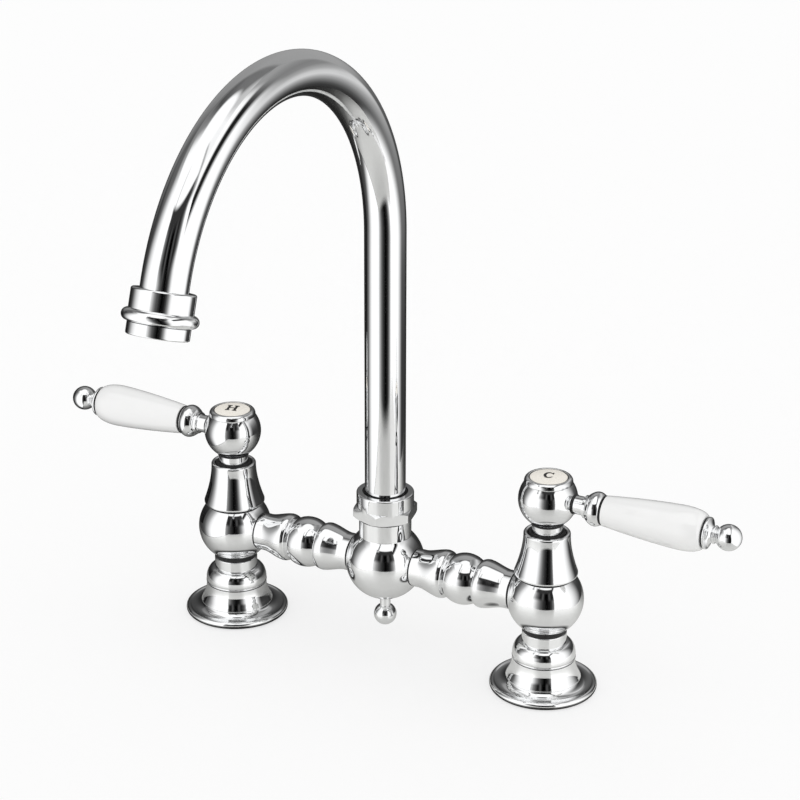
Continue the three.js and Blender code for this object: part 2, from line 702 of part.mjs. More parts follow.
const threadTop = CENTRE_NECK_TOP + CENTRE_THREAD_HEIGHT;
const spoutBoreFloor = threadTop - SPOUT_BORE_DEPTH;
const knobFootTop = BRIDGE_HEIGHT - CENTRE_BALL_RADIUS - SEAT_GAP;

// The round of the centre ball at a distance outside its surface, from the bottom up.
function centreRound(outside = 0) {
  const high = angleAt(CENTRE_BALL_RADIUS, CENTRE_NECK_RADIUS);
  const round = arc(0, BRIDGE_HEIGHT, CENTRE_BALL_RADIUS + outside, -90, high, 9);
  round[0][0] = 0;
  return round;
}

function centreBody() {
  const body = turned([
    ...centreRound(),
    [CENTRE_NECK_RADIUS, CENTRE_NECK_TOP],
    [CENTRE_THREAD_RADIUS, CENTRE_NECK_TOP],
    [CENTRE_THREAD_RADIUS, threadTop],
    [0, threadTop],
  ]);
  const reach = CENTRE_BALL_RADIUS + 1;
  const ports = alongX(cylinder(armPort, -reach, reach, FINE), BRIDGE_HEIGHT);
  const spoutBore = cylinder(SPOUT_BORE, spoutBoreFloor, threadTop + 1);
  const waterway = cylinder(CENTRE_WATERWAY_RADIUS, BRIDGE_HEIGHT, spoutBoreFloor + 1, FINE);
  const knobHole = cylinder(
    KNOB_THREAD_RADIUS + FIT_GAP, 0, knobFootTop + KNOB_THREAD_LENGTH + SEAT_GAP, TINY);
  return body.subtract(ports).subtract(spoutBore).subtract(waterway).subtract(knobHole);
}

function dropKnob() {
  const footBottom = knobFootTop - KNOB_FOOT_HEIGHT;
  const stemFoot = footBottom - KNOB_STEM_LENGTH;
  const centre = stemFoot - chord(KNOB_RADIUS, KNOB_STEM_RADIUS);
  const high = angleAt(KNOB_RADIUS, KNOB_STEM_RADIUS);
  const end = knobFootTop + KNOB_THREAD_LENGTH;
  return turned([
    ...arc(0, centre, KNOB_RADIUS, -90, high, 6).map(([r, z], i) => [i === 0 ? 0 : r, z]),
    [KNOB_STEM_RADIUS, footBottom],
    [KNOB_FOOT_RADIUS, knobFootTop - KNOB_FOOT_HEIGHT / 2],
    [KNOB_FOOT_RADIUS, knobFootTop],
    [KNOB_THREAD_RADIUS, knobFootTop],
    [KNOB_THREAD_RADIUS, end],
    [0, end],
  ], FINE);
}

// ---- Union nut and the bearing inside it -----------------------------------------------

const nutFoot = CENTRE_NECK_TOP + SEAT_GAP;
const nutHexTop = nutFoot + NUT_HEX_HEIGHT;
const nutTop = nutHexTop + NUT_COLLAR_HEIGHT;
const nutLipFoot = nutTop - NUT_LIP_HEIGHT;
const bushTop = nutLipFoot - SEAT_GAP;
const bushFoot = bushTop - BUSH_HEIGHT;

function unionNut() {
  const blank = new THREE.CylinderGeometry(
    NUT_CORNER_RADIUS, NUT_CORNER_RADIUS, NUT_HEX_HEIGHT, 6);
  blank.rotateX(Math.PI / 2);
  blank.rotateZ(THREE.MathUtils.degToRad(NUT_TURN));
  blank.translate(0, 0, nutFoot + NUT_HEX_HEIGHT / 2);
  const flat = NUT_CORNER_RADIUS * Math.cos(Math.PI / 6);
  const chamfer = turned([
    [0, nutFoot],
    [flat, nutFoot],
    [NUT_CORNER_RADIUS + 1, nutFoot + NUT_CHAMFER * 1.4],
    [NUT_CORNER_RADIUS + 1, nutHexTop - NUT_CHAMFER * 1.4],
    [flat, nutHexTop],
    [0, nutHexTop],
  ]);
  const edge = nutTop - NUT_COLLAR_EDGE;
  const collar = turned([
    [0, nutFoot + 1],
    [NUT_COLLAR_RADIUS - NUT_CHAMFER, nutFoot + 1],
    [NUT_COLLAR_RADIUS, nutHexTop - 1],
    ...arc(NUT_COLLAR_RADIUS - NUT_COLLAR_EDGE, edge, NUT_COLLAR_EDGE, 0, 90, 2),
    [0, nutTop],
  ]);
  const thread = cylinder(CENTRE_THREAD_RADIUS + FIT_GAP, nutFoot - 1, nutLipFoot);
  const mouth = cylinder(SPOUT_RADIUS + NUT_LIP_GAP, nutLipFoot - 1, nutTop + 1);
  return solid(blank).intersect(chamfer).add(collar).subtract(thread).subtract(mouth);
}

function spoutBush() {
  return ring(SPOUT_RADIUS + FIT_GAP, CENTRE_THREAD_RADIUS, bushFoot, bushTop);
}

const circlipTop = bushFoot - SEAT_GAP;
const circlipFoot = circlipTop - CIRCLIP_THICKNESS;

function spoutCirclip() {
  const inner = SPOUT_RADIUS - CIRCLIP_DEPTH + FIT_GAP;
  return ring(inner, CIRCLIP_RADIUS, circlipFoot, circlipTop);
}

// ---- Spout -----------------------------------------------------------------------------

const tubeFoot = nutTop - SPOUT_TUBE_SINK;
const tubeBore = SPOUT_RADIUS - SPOUT_WALL;
const tailFoot = spoutBoreFloor + TAILPIECE_END_GAP;
const lowerRing = tailFoot + O_RING_SPACING / 2;
const upperRing = lowerRing + O_RING_SPACING;
const bend = THREE.MathUtils.degToRad(SPOUT_BEND_ANGLE);

function spoutTailpiece() {
  const top = tubeFoot - SEAT_GAP;
  const bore = tubeBore - FIT_GAP - TAILPIECE_WALL;
  const body = turned([
    [bore, tailFoot],
    [SPOUT_RADIUS, tailFoot],
    [SPOUT_RADIUS, top],
    [tubeBore - FIT_GAP, top],
    [tubeBore - FIT_GAP, top + TAILPIECE_SPIGOT],
    [bore, top + TAILPIECE_SPIGOT],
  ]);
  const half = O_RING_SECTION + FIT_GAP;
  const outer = SPOUT_RADIUS + 1;
  const groove = (height) =>
    ring(O_RING_GROOVE_RADIUS, outer, height - half, height + half);
  const clipGroove = ring(SPOUT_RADIUS - CIRCLIP_DEPTH, outer,
    circlipFoot - SEAT_GAP, circlipTop + SEAT_GAP);
  return body.subtract(groove(lowerRing)).subtract(groove(upperRing)).subtract(clipGroove);
}

function oRing(height) {
  return turned(arc(O_RING_RADIUS, height, O_RING_SECTION, 0, 288, 4));
}

// The bend lies in the YZ plane and leads from the top of the riser over to the front.
function bendPoint(t, target = new THREE.Vector3()) {
  const angle = t * bend;
  return target.set(
    0,
    -SPOUT_BEND_RADIUS * (1 - Math.cos(angle)),
    SPOUT_BEND_START + SPOUT_BEND_RADIUS * Math.sin(angle),
  );
}

// Middle of the tube: one step up the riser, the steps of the bend, one step to the end.
class SpoutPath extends THREE.Curve {
  getPoint(t, target = new THREE.Vector3()) {
    const step = t * (BEND_STEPS + 2);
    const along = THREE.MathUtils.clamp((step - 1) / BEND_STEPS, 0, 1);
    bendPoint(along, target);
    if (step < 1) {
      target.z = THREE.MathUtils.lerp(tubeFoot, SPOUT_BEND_START, step);
    } else if (step > BEND_STEPS + 1) {
      const length = (step - BEND_STEPS - 1) * SPOUT_END_LENGTH;
      target.y -= length * Math.sin(bend);
      target.z += length * Math.cos(bend);
    }
    return target;
  }

  // The steps are taken as they come, so that the straight stretches need only one each.
  getPointAt(u, target) {
    return this.getPoint(u, target);
  }

  getTangentAt(u, target) {
    return this.getTangent(u, target);
  }
}

function spoutTube() {
  const section = new THREE.Shape().absarc(0, 0, SPOUT_RADIUS, 0, Math.PI * 2);
  section.holes.push(new THREE.Path().absarc(0, 0, tubeBore, 0, Math.PI * 2, true));
  return solid(new THREE.ExtrudeGeometry(section, {
    steps: BEND_STEPS + 2,
    curveSegments: TUBE_SIDES / 2,
    extrudePath: new SpoutPath(),
  }));
}

const collarEnd = TIP_START + TIP_COLLAR_LENGTH;
const beadMiddle = collarEnd + TIP_BEAD_SECTION;
const beadEnd = beadMiddle + TIP_BEAD_SECTION;
const threadStart = SPOUT_END_LENGTH + SEAT_GAP;
const washerStart = threadStart + SEAT_GAP;
const housingStart = washerStart + AERATOR_WASHER_THICKNESS + SEAT_GAP;
const housingShoulder = beadEnd + SEAT_GAP;
const housingEnd = housingShoulder + HOUSING_LENGTH;
const ledge = housingEnd - OUTLET_DEPTH;

function spoutCollar() {
  const edge = TIP_START + TIP_COLLAR_EDGE;
  const beadCentre = TIP_BEAD_RADIUS - TIP_BEAD_SECTION;
  return turned([
    [SPOUT_RADIUS + FIT_GAP, TIP_START],
    ...arc(TIP_COLLAR_RADIUS - TIP_COLLAR_EDGE, edge, TIP_COLLAR_EDGE, -90, 0, 2),
    [TIP_COLLAR_RADIUS, collarEnd],
    ...arc(beadCentre, beadMiddle, TIP_BEAD_SECTION, -80, 90, 5),
    [TIP_THREAD_RADIUS + FIT_GAP, beadEnd],
    [TIP_THREAD_RADIUS + FIT_GAP, threadStart],
    [SPOUT_RADIUS + FIT_GAP, threadStart],
  ]);
}

function aeratorHousing() {
  const edge = housingEnd - HOUSING_EDGE;
  return turned([
    [HOUSING_BORE, housingStart],
    [TIP_THREAD_RADIUS, housingStart],
    [TIP_THREAD_RADIUS, housingShoulder],
    [HOUSING_RADIUS, housingShoulder],
    ...arc(HOUSING_RADIUS - HOUSING_EDGE, edge, HOUSING_EDGE, 0, 90, 2),
    [OUTLET_RADIUS, housingEnd],
    [OUTLET_RADIUS, ledge],
    [HOUSING_BORE, ledge],
  ]);
}

function aeratorWasher() {
  return ring(TIP_THREAD_RADIUS - AERATOR_WASHER_WIDTH, TIP_THREAD_RADIUS,
    washerStart, washerStart + AERATOR_WASHER_THICKNESS);
}

function aeratorInsert() {
  const end = ledge - SEAT_GAP;
  const start = end - INSERT_THICKNESS;
  const hole = cylinder(INSERT_HOLE_RADIUS, start - 1, end + 1, 6);
  let body = cylinder(HOUSING_BORE - FIT_GAP, start, end).subtract(hole);
  for (let i = 0; i < INSERT_HOLE_COUNT; i += 1) {
    const angle = (i * 2 * Math.PI) / INSERT_HOLE_COUNT;
    const x = INSERT_HOLE_CIRCLE * Math.cos(angle);
    const y = INSERT_HOLE_CIRCLE * Math.sin(angle);
    body = body.subtract(hole.translate([x, y, 0]));
  }
  return body;
}

// ---- Assembly --------------------------------------------------------------------------

const faucet = new THREE.Group();
faucet.name = 'bridge_faucet';

for (const [side, sign] of [['hot', -1], ['cold', 1]]) {
  const turn = sign > 0 ? 0 : Math.PI;
  const column = pillar(side);
  column.position.x = (sign * PILLAR_SPACING) / 2;
  column.rotation.z = turn;
  const arm = piece(`${side}_arm`, bridgeArm(), 'chrome');
  arm.rotation.z = turn;
  faucet.add(column, arm);
}

faucet.add(
  piece('centre_body', centreBody(), 'chrome'),
  piece('drop_knob', dropKnob(), 'chrome'),
  piece('union_nut', unionNut(), 'chrome'),
  piece('spout_bush', spoutBush(), 'plastic'),
  piece('spout_circlip', spoutCirclip(), 'brass'),
  piece('spout_tailpiece', spoutTailpiece(), 'brass'),
  piece('o_ring_lower', oRing(lowerRing), 'rubber'),
  piece('o_ring_upper', oRing(upperRing), 'rubber'),
  piece('spout_tube', spoutTube(), 'chrome'),
);

const tip = new THREE.Group();
tip.position.copy(bendPoint(1));
tip.rotation.x = bend;
tip.add(
  piece('spout_collar', spoutCollar(), 'chrome'),
  piece('aerator_housing', aeratorHousing(), 'chrome'),
  piece('aerator_washer', aeratorWasher(), 'rubber'),
  piece('aerator_insert', aeratorInsert(), 'plastic'),
);
faucet.add(tip);

export default faucet;
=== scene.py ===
import math

import bpy
from mathutils import Matrix, Vector


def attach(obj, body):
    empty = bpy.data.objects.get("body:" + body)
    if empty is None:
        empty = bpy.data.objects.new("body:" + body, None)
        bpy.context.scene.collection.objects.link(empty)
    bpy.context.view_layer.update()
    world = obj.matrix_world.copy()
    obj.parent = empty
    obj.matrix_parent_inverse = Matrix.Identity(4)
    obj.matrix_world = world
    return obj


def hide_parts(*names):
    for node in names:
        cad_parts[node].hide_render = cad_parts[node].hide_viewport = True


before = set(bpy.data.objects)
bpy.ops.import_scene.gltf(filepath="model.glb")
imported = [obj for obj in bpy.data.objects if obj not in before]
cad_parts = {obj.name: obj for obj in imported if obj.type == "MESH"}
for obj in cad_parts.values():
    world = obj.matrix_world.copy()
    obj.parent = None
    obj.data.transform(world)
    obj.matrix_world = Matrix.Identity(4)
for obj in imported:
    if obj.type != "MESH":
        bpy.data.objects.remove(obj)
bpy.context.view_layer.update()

# Bridge kitchen faucet: two turned pillars with lever handles, a bridge, a swan-neck spout.
# An outline is a line of (radius, height) points in millimetres that is spun round an axis. The
# cold pillar and lever are modelled; the hot ones are their copies, half a turn on.

MM = 0.001
UP = Vector((0, 0, 1))
RIGHT = Vector((1, 0, 0))
DECK = Vector((0, 0, 0))
PILLAR = Vector((100, 0, 0))
BRIDGE_HEIGHT = 54.3
HUB_HEIGHT = 114.25
BRIDGE = UP * BRIDGE_HEIGHT
HUB = PILLAR + UP * HUB_HEIGHT
VALVE_RADIUS = 21.2
PORT_RADIUS = 8.3
NECK_RADIUS = 8.4
HUB_RADIUS = 16.3
ROD_HOLE = 2.5
CENTRE_RADIUS = 22.4
ARM_BALL_RADIUS = 14.6
ARM_BALL_AT = 50.6
ARM_RADIUS = 10.8
BEND_ANGLE = math.radians(161)
BEND_RADIUS = 109
BEND_START = 250
TUBE_RADIUS = 11.49
TIP_AXIS = Vector((0, -math.sin(BEND_ANGLE), math.cos(BEND_ANGLE)))
TIP_OUT = Vector((0, TIP_AXIS.z, -TIP_AXIS.y))
TIP = Vector((0, -BEND_RADIUS * (1 - math.cos(BEND_ANGLE)),
              BEND_START + BEND_RADIUS * math.sin(BEND_ANGLE)))

# Points nearer than this are one point; after a cut the second one holds.
WELD, CUT_WELD = 0.003, 0.03
# The width of the broken edges on cut pieces, and the steps round the large ones.
CUT_EDGE = 0.15
FINE = 128


# ---- Drawing an outline ------------------------------------------------------------------

def arc(radius, height, bend, a, b, steps=10):
    """Points of a round, from angle a to angle b in degrees; 0 points away from the axis."""
    points = []
    for i in range(steps + 1):
        t = math.radians(a + (b - a) * i / steps)
        points.append((radius + bend * math.cos(t), height + bend * math.sin(t)))
    return points


def sweep(low, high, radius_at, steps=16):
    """Points of a curve between two heights; radius_at takes 0 to 1."""
    return [(radius_at(i / steps), low + (high - low) * i / steps) for i in range(steps + 1)]


def hollow(a, corner, b, steps=8):
    """A soft hollow from a to b, pulled towards a corner."""
    points = []
    for i in range(steps + 1):
        t = i / steps
        points.append(tuple((1 - t) ** 2 * p + 2 * t * (1 - t) * q + t * t * r
                            for p, q, r in zip(a, corner, b)))
    return points


def chord(radius, offset):
    """How far a ball's surface is from its middle plane, at this distance from its axis."""
    return math.sqrt(radius * radius - offset * offset)


def angle_at(radius, from_axis):
    """The angle at which a ball's outline is this far from its axis."""
    return math.degrees(math.acos(from_axis / radius))


def flat_ring(inside, outside, low, high):
    """The outline of a ring with a square section."""
    return [(inside, low), (outside, low), (outside, high), (inside, high), (inside, low)]


# ---- Making a piece ----------------------------------------------------------------------

def only(piece):
    bpy.ops.object.select_all(action="DESELECT")
    piece.select_set(True)
    bpy.context.view_layer.objects.active = piece


def named(name):
    piece = bpy.context.object
    piece.name = piece.data.name = name
    return piece


def editing(piece):
    only(piece)
    bpy.ops.object.mode_set(mode="EDIT")
    bpy.ops.mesh.select_all(action="SELECT")


def done():
    bpy.ops.object.mode_set(mode="OBJECT")


def weld(distance=WELD):
    """Joins the doubled points of the piece in edit mode and leaves that mode."""
    bpy.ops.mesh.select_all(action="SELECT")
    bpy.ops.mesh.remove_doubles(threshold=distance * MM)
    bpy.ops.mesh.normals_make_consistent(inside=False)
    done()


def modify(piece, kind, **settings):
    only(piece)
    bpy.ops.object.modifier_add(type=kind)
    modifier = piece.modifiers[-1]
    for key, value in settings.items():
        setattr(modifier, key, value)
    bpy.ops.object.modifier_apply(modifier=modifier.name)


def settle(piece):
    only(piece)
    bpy.ops.object.transform_apply(location=True, rotation=True, scale=True)


def soften(piece, edge, corner=32, segments=2):
    """Breaks the sharp edges."""
    modify(piece, "BEVEL", width=edge * MM, segments=segments, limit_method="ANGLE",
           angle_limit=math.radians(corner))


def polish(piece, edge=0.2, corner=32, segments=2):
    """Breaks the sharp edges and shades the rest smooth."""
    if edge:
        soften(piece, edge, corner, segments)
    only(piece)
    bpy.ops.object.shade_smooth_by_angle(angle=math.radians(corner + 8))
    modify(piece, "WEIGHTED_NORMAL", mode="FACE_AREA", weight=60, keep_sharp=True)


def drawn(name, points):
    """A line through points, pulled out of one vertex; all in metres."""
    bpy.ops.object.select_all(action="DESELECT")
    bpy.ops.mesh.primitive_plane_add(size=MM, location=points[0])
    piece = named(name)
    editing(piece)
    bpy.ops.mesh.merge(type="CENTER")
    for a, b in zip(points, points[1:]):
        bpy.ops.mesh.extrude_region_move(TRANSFORM_OT_translate={"value": b - a})
    return piece


def turned(name, outline, base=DECK, axis=UP, out=RIGHT, steps=96, edge=0.2, corner=32):
    """A piece turned from its outline about an axis through base; edge None leaves it sharp."""
    points = [(base + axis * h + out * r) * MM for r, h in outline]
    piece = drawn(name, points)
    bpy.ops.mesh.select_all(action="SELECT")
    bpy.ops.mesh.spin(steps=steps, angle=math.tau, center=base * MM, axis=axis)
    weld()
    settle(piece)
    if edge is not None:
        polish(piece, edge, corner)
    return piece


def along_x(name, outline, base, **settings):
    return turned(name, outline, base, axis=RIGHT, out=UP, **settings)


def combined(piece, other, operation):
    """Cuts, joins or keeps the overlap of two solids; the other one is used up."""
    modify(piece, "BOOLEAN", operation=operation, object=other, solver="EXACT")
    bpy.data.objects.remove(other)
    editing(piece)
    weld(CUT_WELD)


def bored(piece, radius, start, end, base, axis=RIGHT, out=UP):
    """A straight round hole in a piece."""
    drill = turned("drill", [(0, start), (radius, start), (radius, end), (0, end)],
                   base, axis, out, steps=64, edge=None)
    combined(piece, drill, "DIFFERENCE")


def hot_copy(piece, name):
    """The same piece on the hot side: half a turn about the middle of the bridge."""
    only(piece)
    bpy.ops.object.duplicate()
    copy = named(name)
    bpy.ops.transform.rotate(value=math.pi, orient_axis="Z", center_override=(0, 0, 0))
    settle(copy)
    return copy


def fit(piece, body, slot, finish, *nodes):
    """Hands a piece its body and its finish, and hides the solids that it stands for."""
    piece.data.materials.clear()
    piece.data.materials.append(finish)
    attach(piece, body)
    if nodes:
        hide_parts(*nodes)


def fit_pair(piece, stem, body, slot, finish, solid=None):
    """Fits a cold piece and its hot copy; body may name the side."""
    piece.name = piece.data.name = stem + "_cold"
    copy = hot_copy(piece, stem + "_hot")
    for side, one in (("cold", piece), ("hot", copy)):
        nodes = (f"{side}_{solid}",) if solid else ()
        fit(one, body.format(side=side), slot, finish, *nodes)


# ---- Finishes ----------------------------------------------------------------------------

def tree_of(owner):
    """The emptied node tree of a material or a world."""
    owner.use_nodes = True
    owner.node_tree.nodes.clear()
    return owner.node_tree


def new_material(name):
    material = bpy.data.materials.new(name)
    return material, tree_of(material)


def node(tree, kind, inputs=None, **settings):
    """A shader node; an input takes a value or another node's output."""
    made = tree.nodes.new("ShaderNode" + kind)
    for key, value in settings.items():
        setattr(made, key, value)
    for key, value in (inputs or {}).items():
        if isinstance(value, bpy.types.NodeSocket):
            tree.links.new(value, made.inputs[key])
        else:
            made.inputs[key].default_value = value
    return made


def ramp(tree, factor, stops):
    """A colour or a grey that follows a factor; stops are (factor, colour or grey)."""
    made = node(tree, "ValToRGB", {"Fac": factor})
    elements = made.color_ramp.elements
    while len(elements) > 1:
        elements.remove(elements[-1])
    for i, (place, colour) in enumerate(stops):
        if not isinstance(colour, (tuple, list)):
            colour = (colour,) * 3
        element = elements[0] if i == 0 else elements.new(place)
        element.position = place
        element.color = (*colour, 1)
    return made.outputs["Color"]


def surface(tree, shader, kind="OutputMaterial"):
    tree.links.new(shader.outputs[0], node(tree, kind).inputs["Surface"])


def group_of(name, inputs, outputs):
    """A node group, with its input and its output node."""
    group = bpy.data.node_groups.new(name, "ShaderNodeTree")
    for label, kind, value in inputs:
        socket = group.interface.new_socket(label, in_out="INPUT", socket_type=kind)
        socket.default_value = value
    for label, kind in outputs:
        group.interface.new_socket(label, in_out="OUTPUT", socket_type=kind)
    return group, group.nodes.new("NodeGroupInput"), group.nodes.new("NodeGroupOutput")


def buffing_group():
    """Faint marks of the buffing wheel and of wiping: a roughness, a tint and a height."""
    group, given, put = group_of("buffing", [
        ("Size", "NodeSocketFloat", 60.0),
        ("Low", "NodeSocketFloat", 0.03),
        ("High", "NodeSocketFloat", 0.07),
        ("Bright", "NodeSocketColor", (0.94, 0.945, 0.95, 1)),
        ("Dull", "NodeSocketColor", (0.9, 0.905, 0.91, 1)),
    ], [("Roughness", "NodeSocketFloat"), ("Tint", "NodeSocketColor"),
        ("Height", "NodeSocketFloat")])
    place = node(group, "TexCoord").outputs["Object"]
    cloud = node(group, "TexNoise", {"Vector": place, "Scale": given.outputs["Size"],
                                     "Detail": 4.0, "Roughness": 0.55})
    grain = node(group, "TexNoise", {"Vector": place, "Scale": 2400.0, "Detail": 2.0})
    wiped = node(group, "MapRange", {"Value": cloud.outputs["Fac"], "From Min": 0.35,
                                     "From Max": 0.7})
    patchy = node(group, "Math", {0: wiped.outputs["Result"], 1: 0.8}, operation="MULTIPLY")
    fine = node(group, "Math", {0: grain.outputs["Fac"], 1: 0.2, 2: patchy.outputs[0]},
                operation="MULTIPLY_ADD")
    rough = node(group, "MapRange", {"Value": fine.outputs[0], "To Min": given.outputs["Low"],
                                     "To Max": given.outputs["High"]})
    tint = node(group, "Mix", {0: fine.outputs[0], 6: given.outputs["Bright"],
                               7: given.outputs["Dull"]}, data_type="RGBA")
    group.links.new(rough.outputs["Result"], put.inputs["Roughness"])
    group.links.new(tint.outputs[2], put.inputs["Tint"])
    group.links.new(cloud.outputs["Fac"], put.inputs["Height"])
    return group


def tool_mark_group():
    """Rings that a turning tool leaves about the upright axis, as a height and a mask."""
    group, given, put = group_of("tool_marks", [
        ("Pitch", "NodeSocketFloat", 900.0),
        ("Waver", "NodeSocketFloat", 0.6),
    ], [("Height", "NodeSocketFloat"), ("Mask", "NodeSocketFloat")])
    place = node(group, "TexCoord").outputs["Object"]
    rings = node(group, "TexWave", {"Vector": place, "Scale": given.outputs["Pitch"],
                                    "Distortion": given.outputs["Waver"], "Detail": 2.0},
                 wave_type="BANDS", bands_direction="Z")
    stain = node(group, "TexNoise", {"Vector": place, "Scale": 180.0, "Detail": 5.0})
    group.links.new(rings.outputs["Fac"], put.inputs["Height"])
    group.links.new(stain.outputs["Fac"], put.inputs["Mask"])
    return group


def principled(tree, **sockets):
    surface(tree, node(tree, "BsdfPrincipled",
                       {key.replace("_", " "): value for key, value in sockets.items()}))


def bumped(tree, height, strength, distance):
    made = node(tree, "Bump", {"Height": height, "Strength": strength, "Distance": distance})
    return made.outputs["Normal"]


def grouped(tree, group, **values):
    made = tree.nodes.new("ShaderNodeGroup")
    made.node_tree = group
    for key, value in values.items():
        made.inputs[key].default_value = value
    return made


def polished_chrome():
    material, tree = new_material("polished_chrome")
    marks = grouped(tree, BUFFING, Size=55.0, Low=0.025, High=0.06)
    principled(tree, Base_Color=marks.outputs["Tint"], Metallic=1.0,
               Roughness=marks.outputs["Roughness"])
    return material


def turned_brass():
    material, tree = new_material("turned_brass")
    rings = grouped(tree, TOOL_MARKS)
    marks = grouped(tree, BUFFING, Size=90.0, Low=0.2, High=0.38)
    tint = ramp(tree, rings.outputs["Mask"], [(0.35, (0.55, 0.4, 0.19)), (0.6, (0.8, 0.61, 0.29))])
    principled(tree, Base_Color=tint, Metallic=1.0, Roughness=marks.outputs["Roughness"],
               Normal=bumped(tree, rings.outputs["Height"], 0.25, 0.00004))
    return material


def porcelain():
    material, tree = new_material("glazed_porcelain")
    marks = grouped(tree, BUFFING, Size=40.0, Low=0.1, High=0.16,
                    Bright=(0.95, 0.95, 0.947, 1), Dull=(0.92, 0.92, 0.916, 1))
    principled(tree, Base_Color=marks.outputs["Tint"], Roughness=marks.outputs["Roughness"],
               Coat_Weight=0.6, Coat_Roughness=0.04,
               Normal=bumped(tree, marks.outputs["Height"], 0.15, 0.0001))
    return material


def enamel(name, bright, dull, low, high, size):
    material, tree = new_material(name)
    marks = grouped(tree, BUFFING, Size=size, Low=low, High=high,
                    Bright=(*bright, 1), Dull=(*dull, 1))
    principled(tree, Base_Color=marks.outputs["Tint"], Roughness=marks.outputs["Roughness"])
    return material


def moulded(name, bright, dull, low, high, size=400.0):
    material, tree = new_material(name)
    marks = grouped(tree, BUFFING, Size=size, Low=low, High=high,
                    Bright=(*bright, 1), Dull=(*dull, 1))
    principled(tree, Base_Color=marks.outputs["Tint"], Roughness=marks.outputs["Roughness"],
               Normal=bumped(tree, marks.outputs["Height"], 0.3, 0.0001))
    return material


BUFFING = buffing_group()
TOOL_MARKS = tool_mark_group()
CHROME = polished_chrome()
BRASS = turned_brass()
PORCELAIN = porcelain()
# Each has a bright and a dull colour, its lowest and highest roughness and the size of its marks.
IVORY = enamel("ivory_enamel", (0.97, 0.93, 0.86), (0.93, 0.885, 0.8), 0.22, 0.34, 300.0)
LETTER = enamel("letter_enamel", (0.03, 0.028, 0.026), (0.015, 0.014, 0.013), 0.3, 0.45, 500.0)
# Rubber of the real seals, also used for the thin dark rings of painted shade at the joints.
RUBBER_AND_SHADE = moulded("seal_rubber", (0.02, 0.02, 0.021), (0.012, 0.012, 0.012), 0.55, 0.8)
PLASTIC = moulded("moulded_plastic", (0.09, 0.093, 0.1), (0.06, 0.063, 0.068), 0.35, 0.55)
# Nearly black: the bush's own plastic, darkened as painted shade in the gap round the spout.
BUSH_PLASTIC_AND_SHADE = moulded("bush_plastic", (0.015, 0.015, 0.016), (0.01, 0.01, 0.01), 0.5, 0.7)
CERAMIC = moulded("lapped_ceramic", (0.78, 0.76, 0.71), (0.7, 0.68, 0.63), 0.2, 0.35, 250.0)


# ---- Pillars -----------------------------------------------------------------------------

def foot():
    top, flare, curve = 17.6, 3.2, 2.2
    side = sweep(7.6, 18.3, lambda t: top + flare * (1 - t) ** curve)
    outline = [(10.5, 0), (21.7, 0), (21.7, 2.2), (26.3, 2.2), (26.3, 0)]
    outline += arc(28.2, 1.8, 1.8, -90, 0, 6) + arc(28.2, 2.2, 1.8, 0, 125, 8)
    outline += hollow((26.9, 3.6), (23.0, 3.0), (20.6, 5.4)) + [(20.3, 6.1)]
    outline += arc(20.35, 6.95, 0.65, -70, 50, 6) + side[1:]
    outline += [(10.5, 18.3), (10.5, 0)]
    piece = turned("foot", outline, PILLAR, steps=FINE, edge=0.12)
    fit_pair(piece, "foot_flange", "bridge", "chrome", CHROME, "foot_flange")
    middle, bend = 1.1, 0.8
    seal = arc(22.8, middle, bend, 180, 270, 3) + arc(25.2, middle, bend, -90, 90, 6)
    seal += arc(22.8, middle, bend, 90, 180, 3)
    piece = turned("seal", seal, PILLAR, edge=0)
    fit_pair(piece, "foot_seal", "bridge", "rubber", RUBBER_AND_SHADE, "foot_seal")
    sleeve = [(7, 0.3), (10.2, 0.3), (10.2, 41.93), (2.6, 41.93), (2.6, 16), (7, 16), (7, 0.3)]
    piece = turned("sleeve", sleeve, PILLAR, steps=64)
    fit_pair(piece, "inlet_sleeve", "bridge", "brass", BRASS, "inlet_sleeve")


def collar():
    neck = 12.45
    dome = [(neck + 5.2 * math.cos(a) ** 0.9, 20.4 + 7.9 * math.sin(a))
            for a in (math.radians(6 * i) for i in range(15))]
    outline = [(10.5, 18.6)] + arc(17.2, 19.2, 0.6, -90, 60, 8) + dome
    outline += [(neck, 28.3), (neck, 34.4), (12.1, 34.75), (10.5, 34.75), (10.5, 18.6)]
    piece = turned("collar", outline, PILLAR, edge=0.12)
    fit_pair(piece, "pillar_collar", "bridge", "chrome", CHROME, "pillar_collar")
    # Painted shade: a dark ring in the groove between the collar's neck and the valve ball.
    piece = turned("ring", flat_ring(11.6, 12.1, 34.85, 38.6), PILLAR, edge=0)
    fit_pair(piece, "neck_seal", "bridge", "rubber", RUBBER_AND_SHADE)


def valve_ball():
    low, high = -angle_at(VALVE_RADIUS, 14.3), angle_at(VALVE_RADIUS, 15)
    outline = [(2.6, 42.23), (10.5, 42.23), (10.5, 35.93), (11.5, 35.93), (11.5, 38.8)]
    outline += arc(0, BRIDGE_HEIGHT, VALVE_RADIUS, low, high, 28)
    outline += [(10.4, 69.28), (10.4, 50.28), (2.6, 50.28), (2.6, 42.23)]
    piece = turned("valve", outline, PILLAR, edge=None, steps=FINE)
    soften(piece, CUT_EDGE)
    bored(piece, PORT_RADIUS, -24, -9, PILLAR + BRIDGE)
    polish(piece, 0)
    fit_pair(piece, "valve_body", "bridge", "chrome", CHROME, "valve_body")


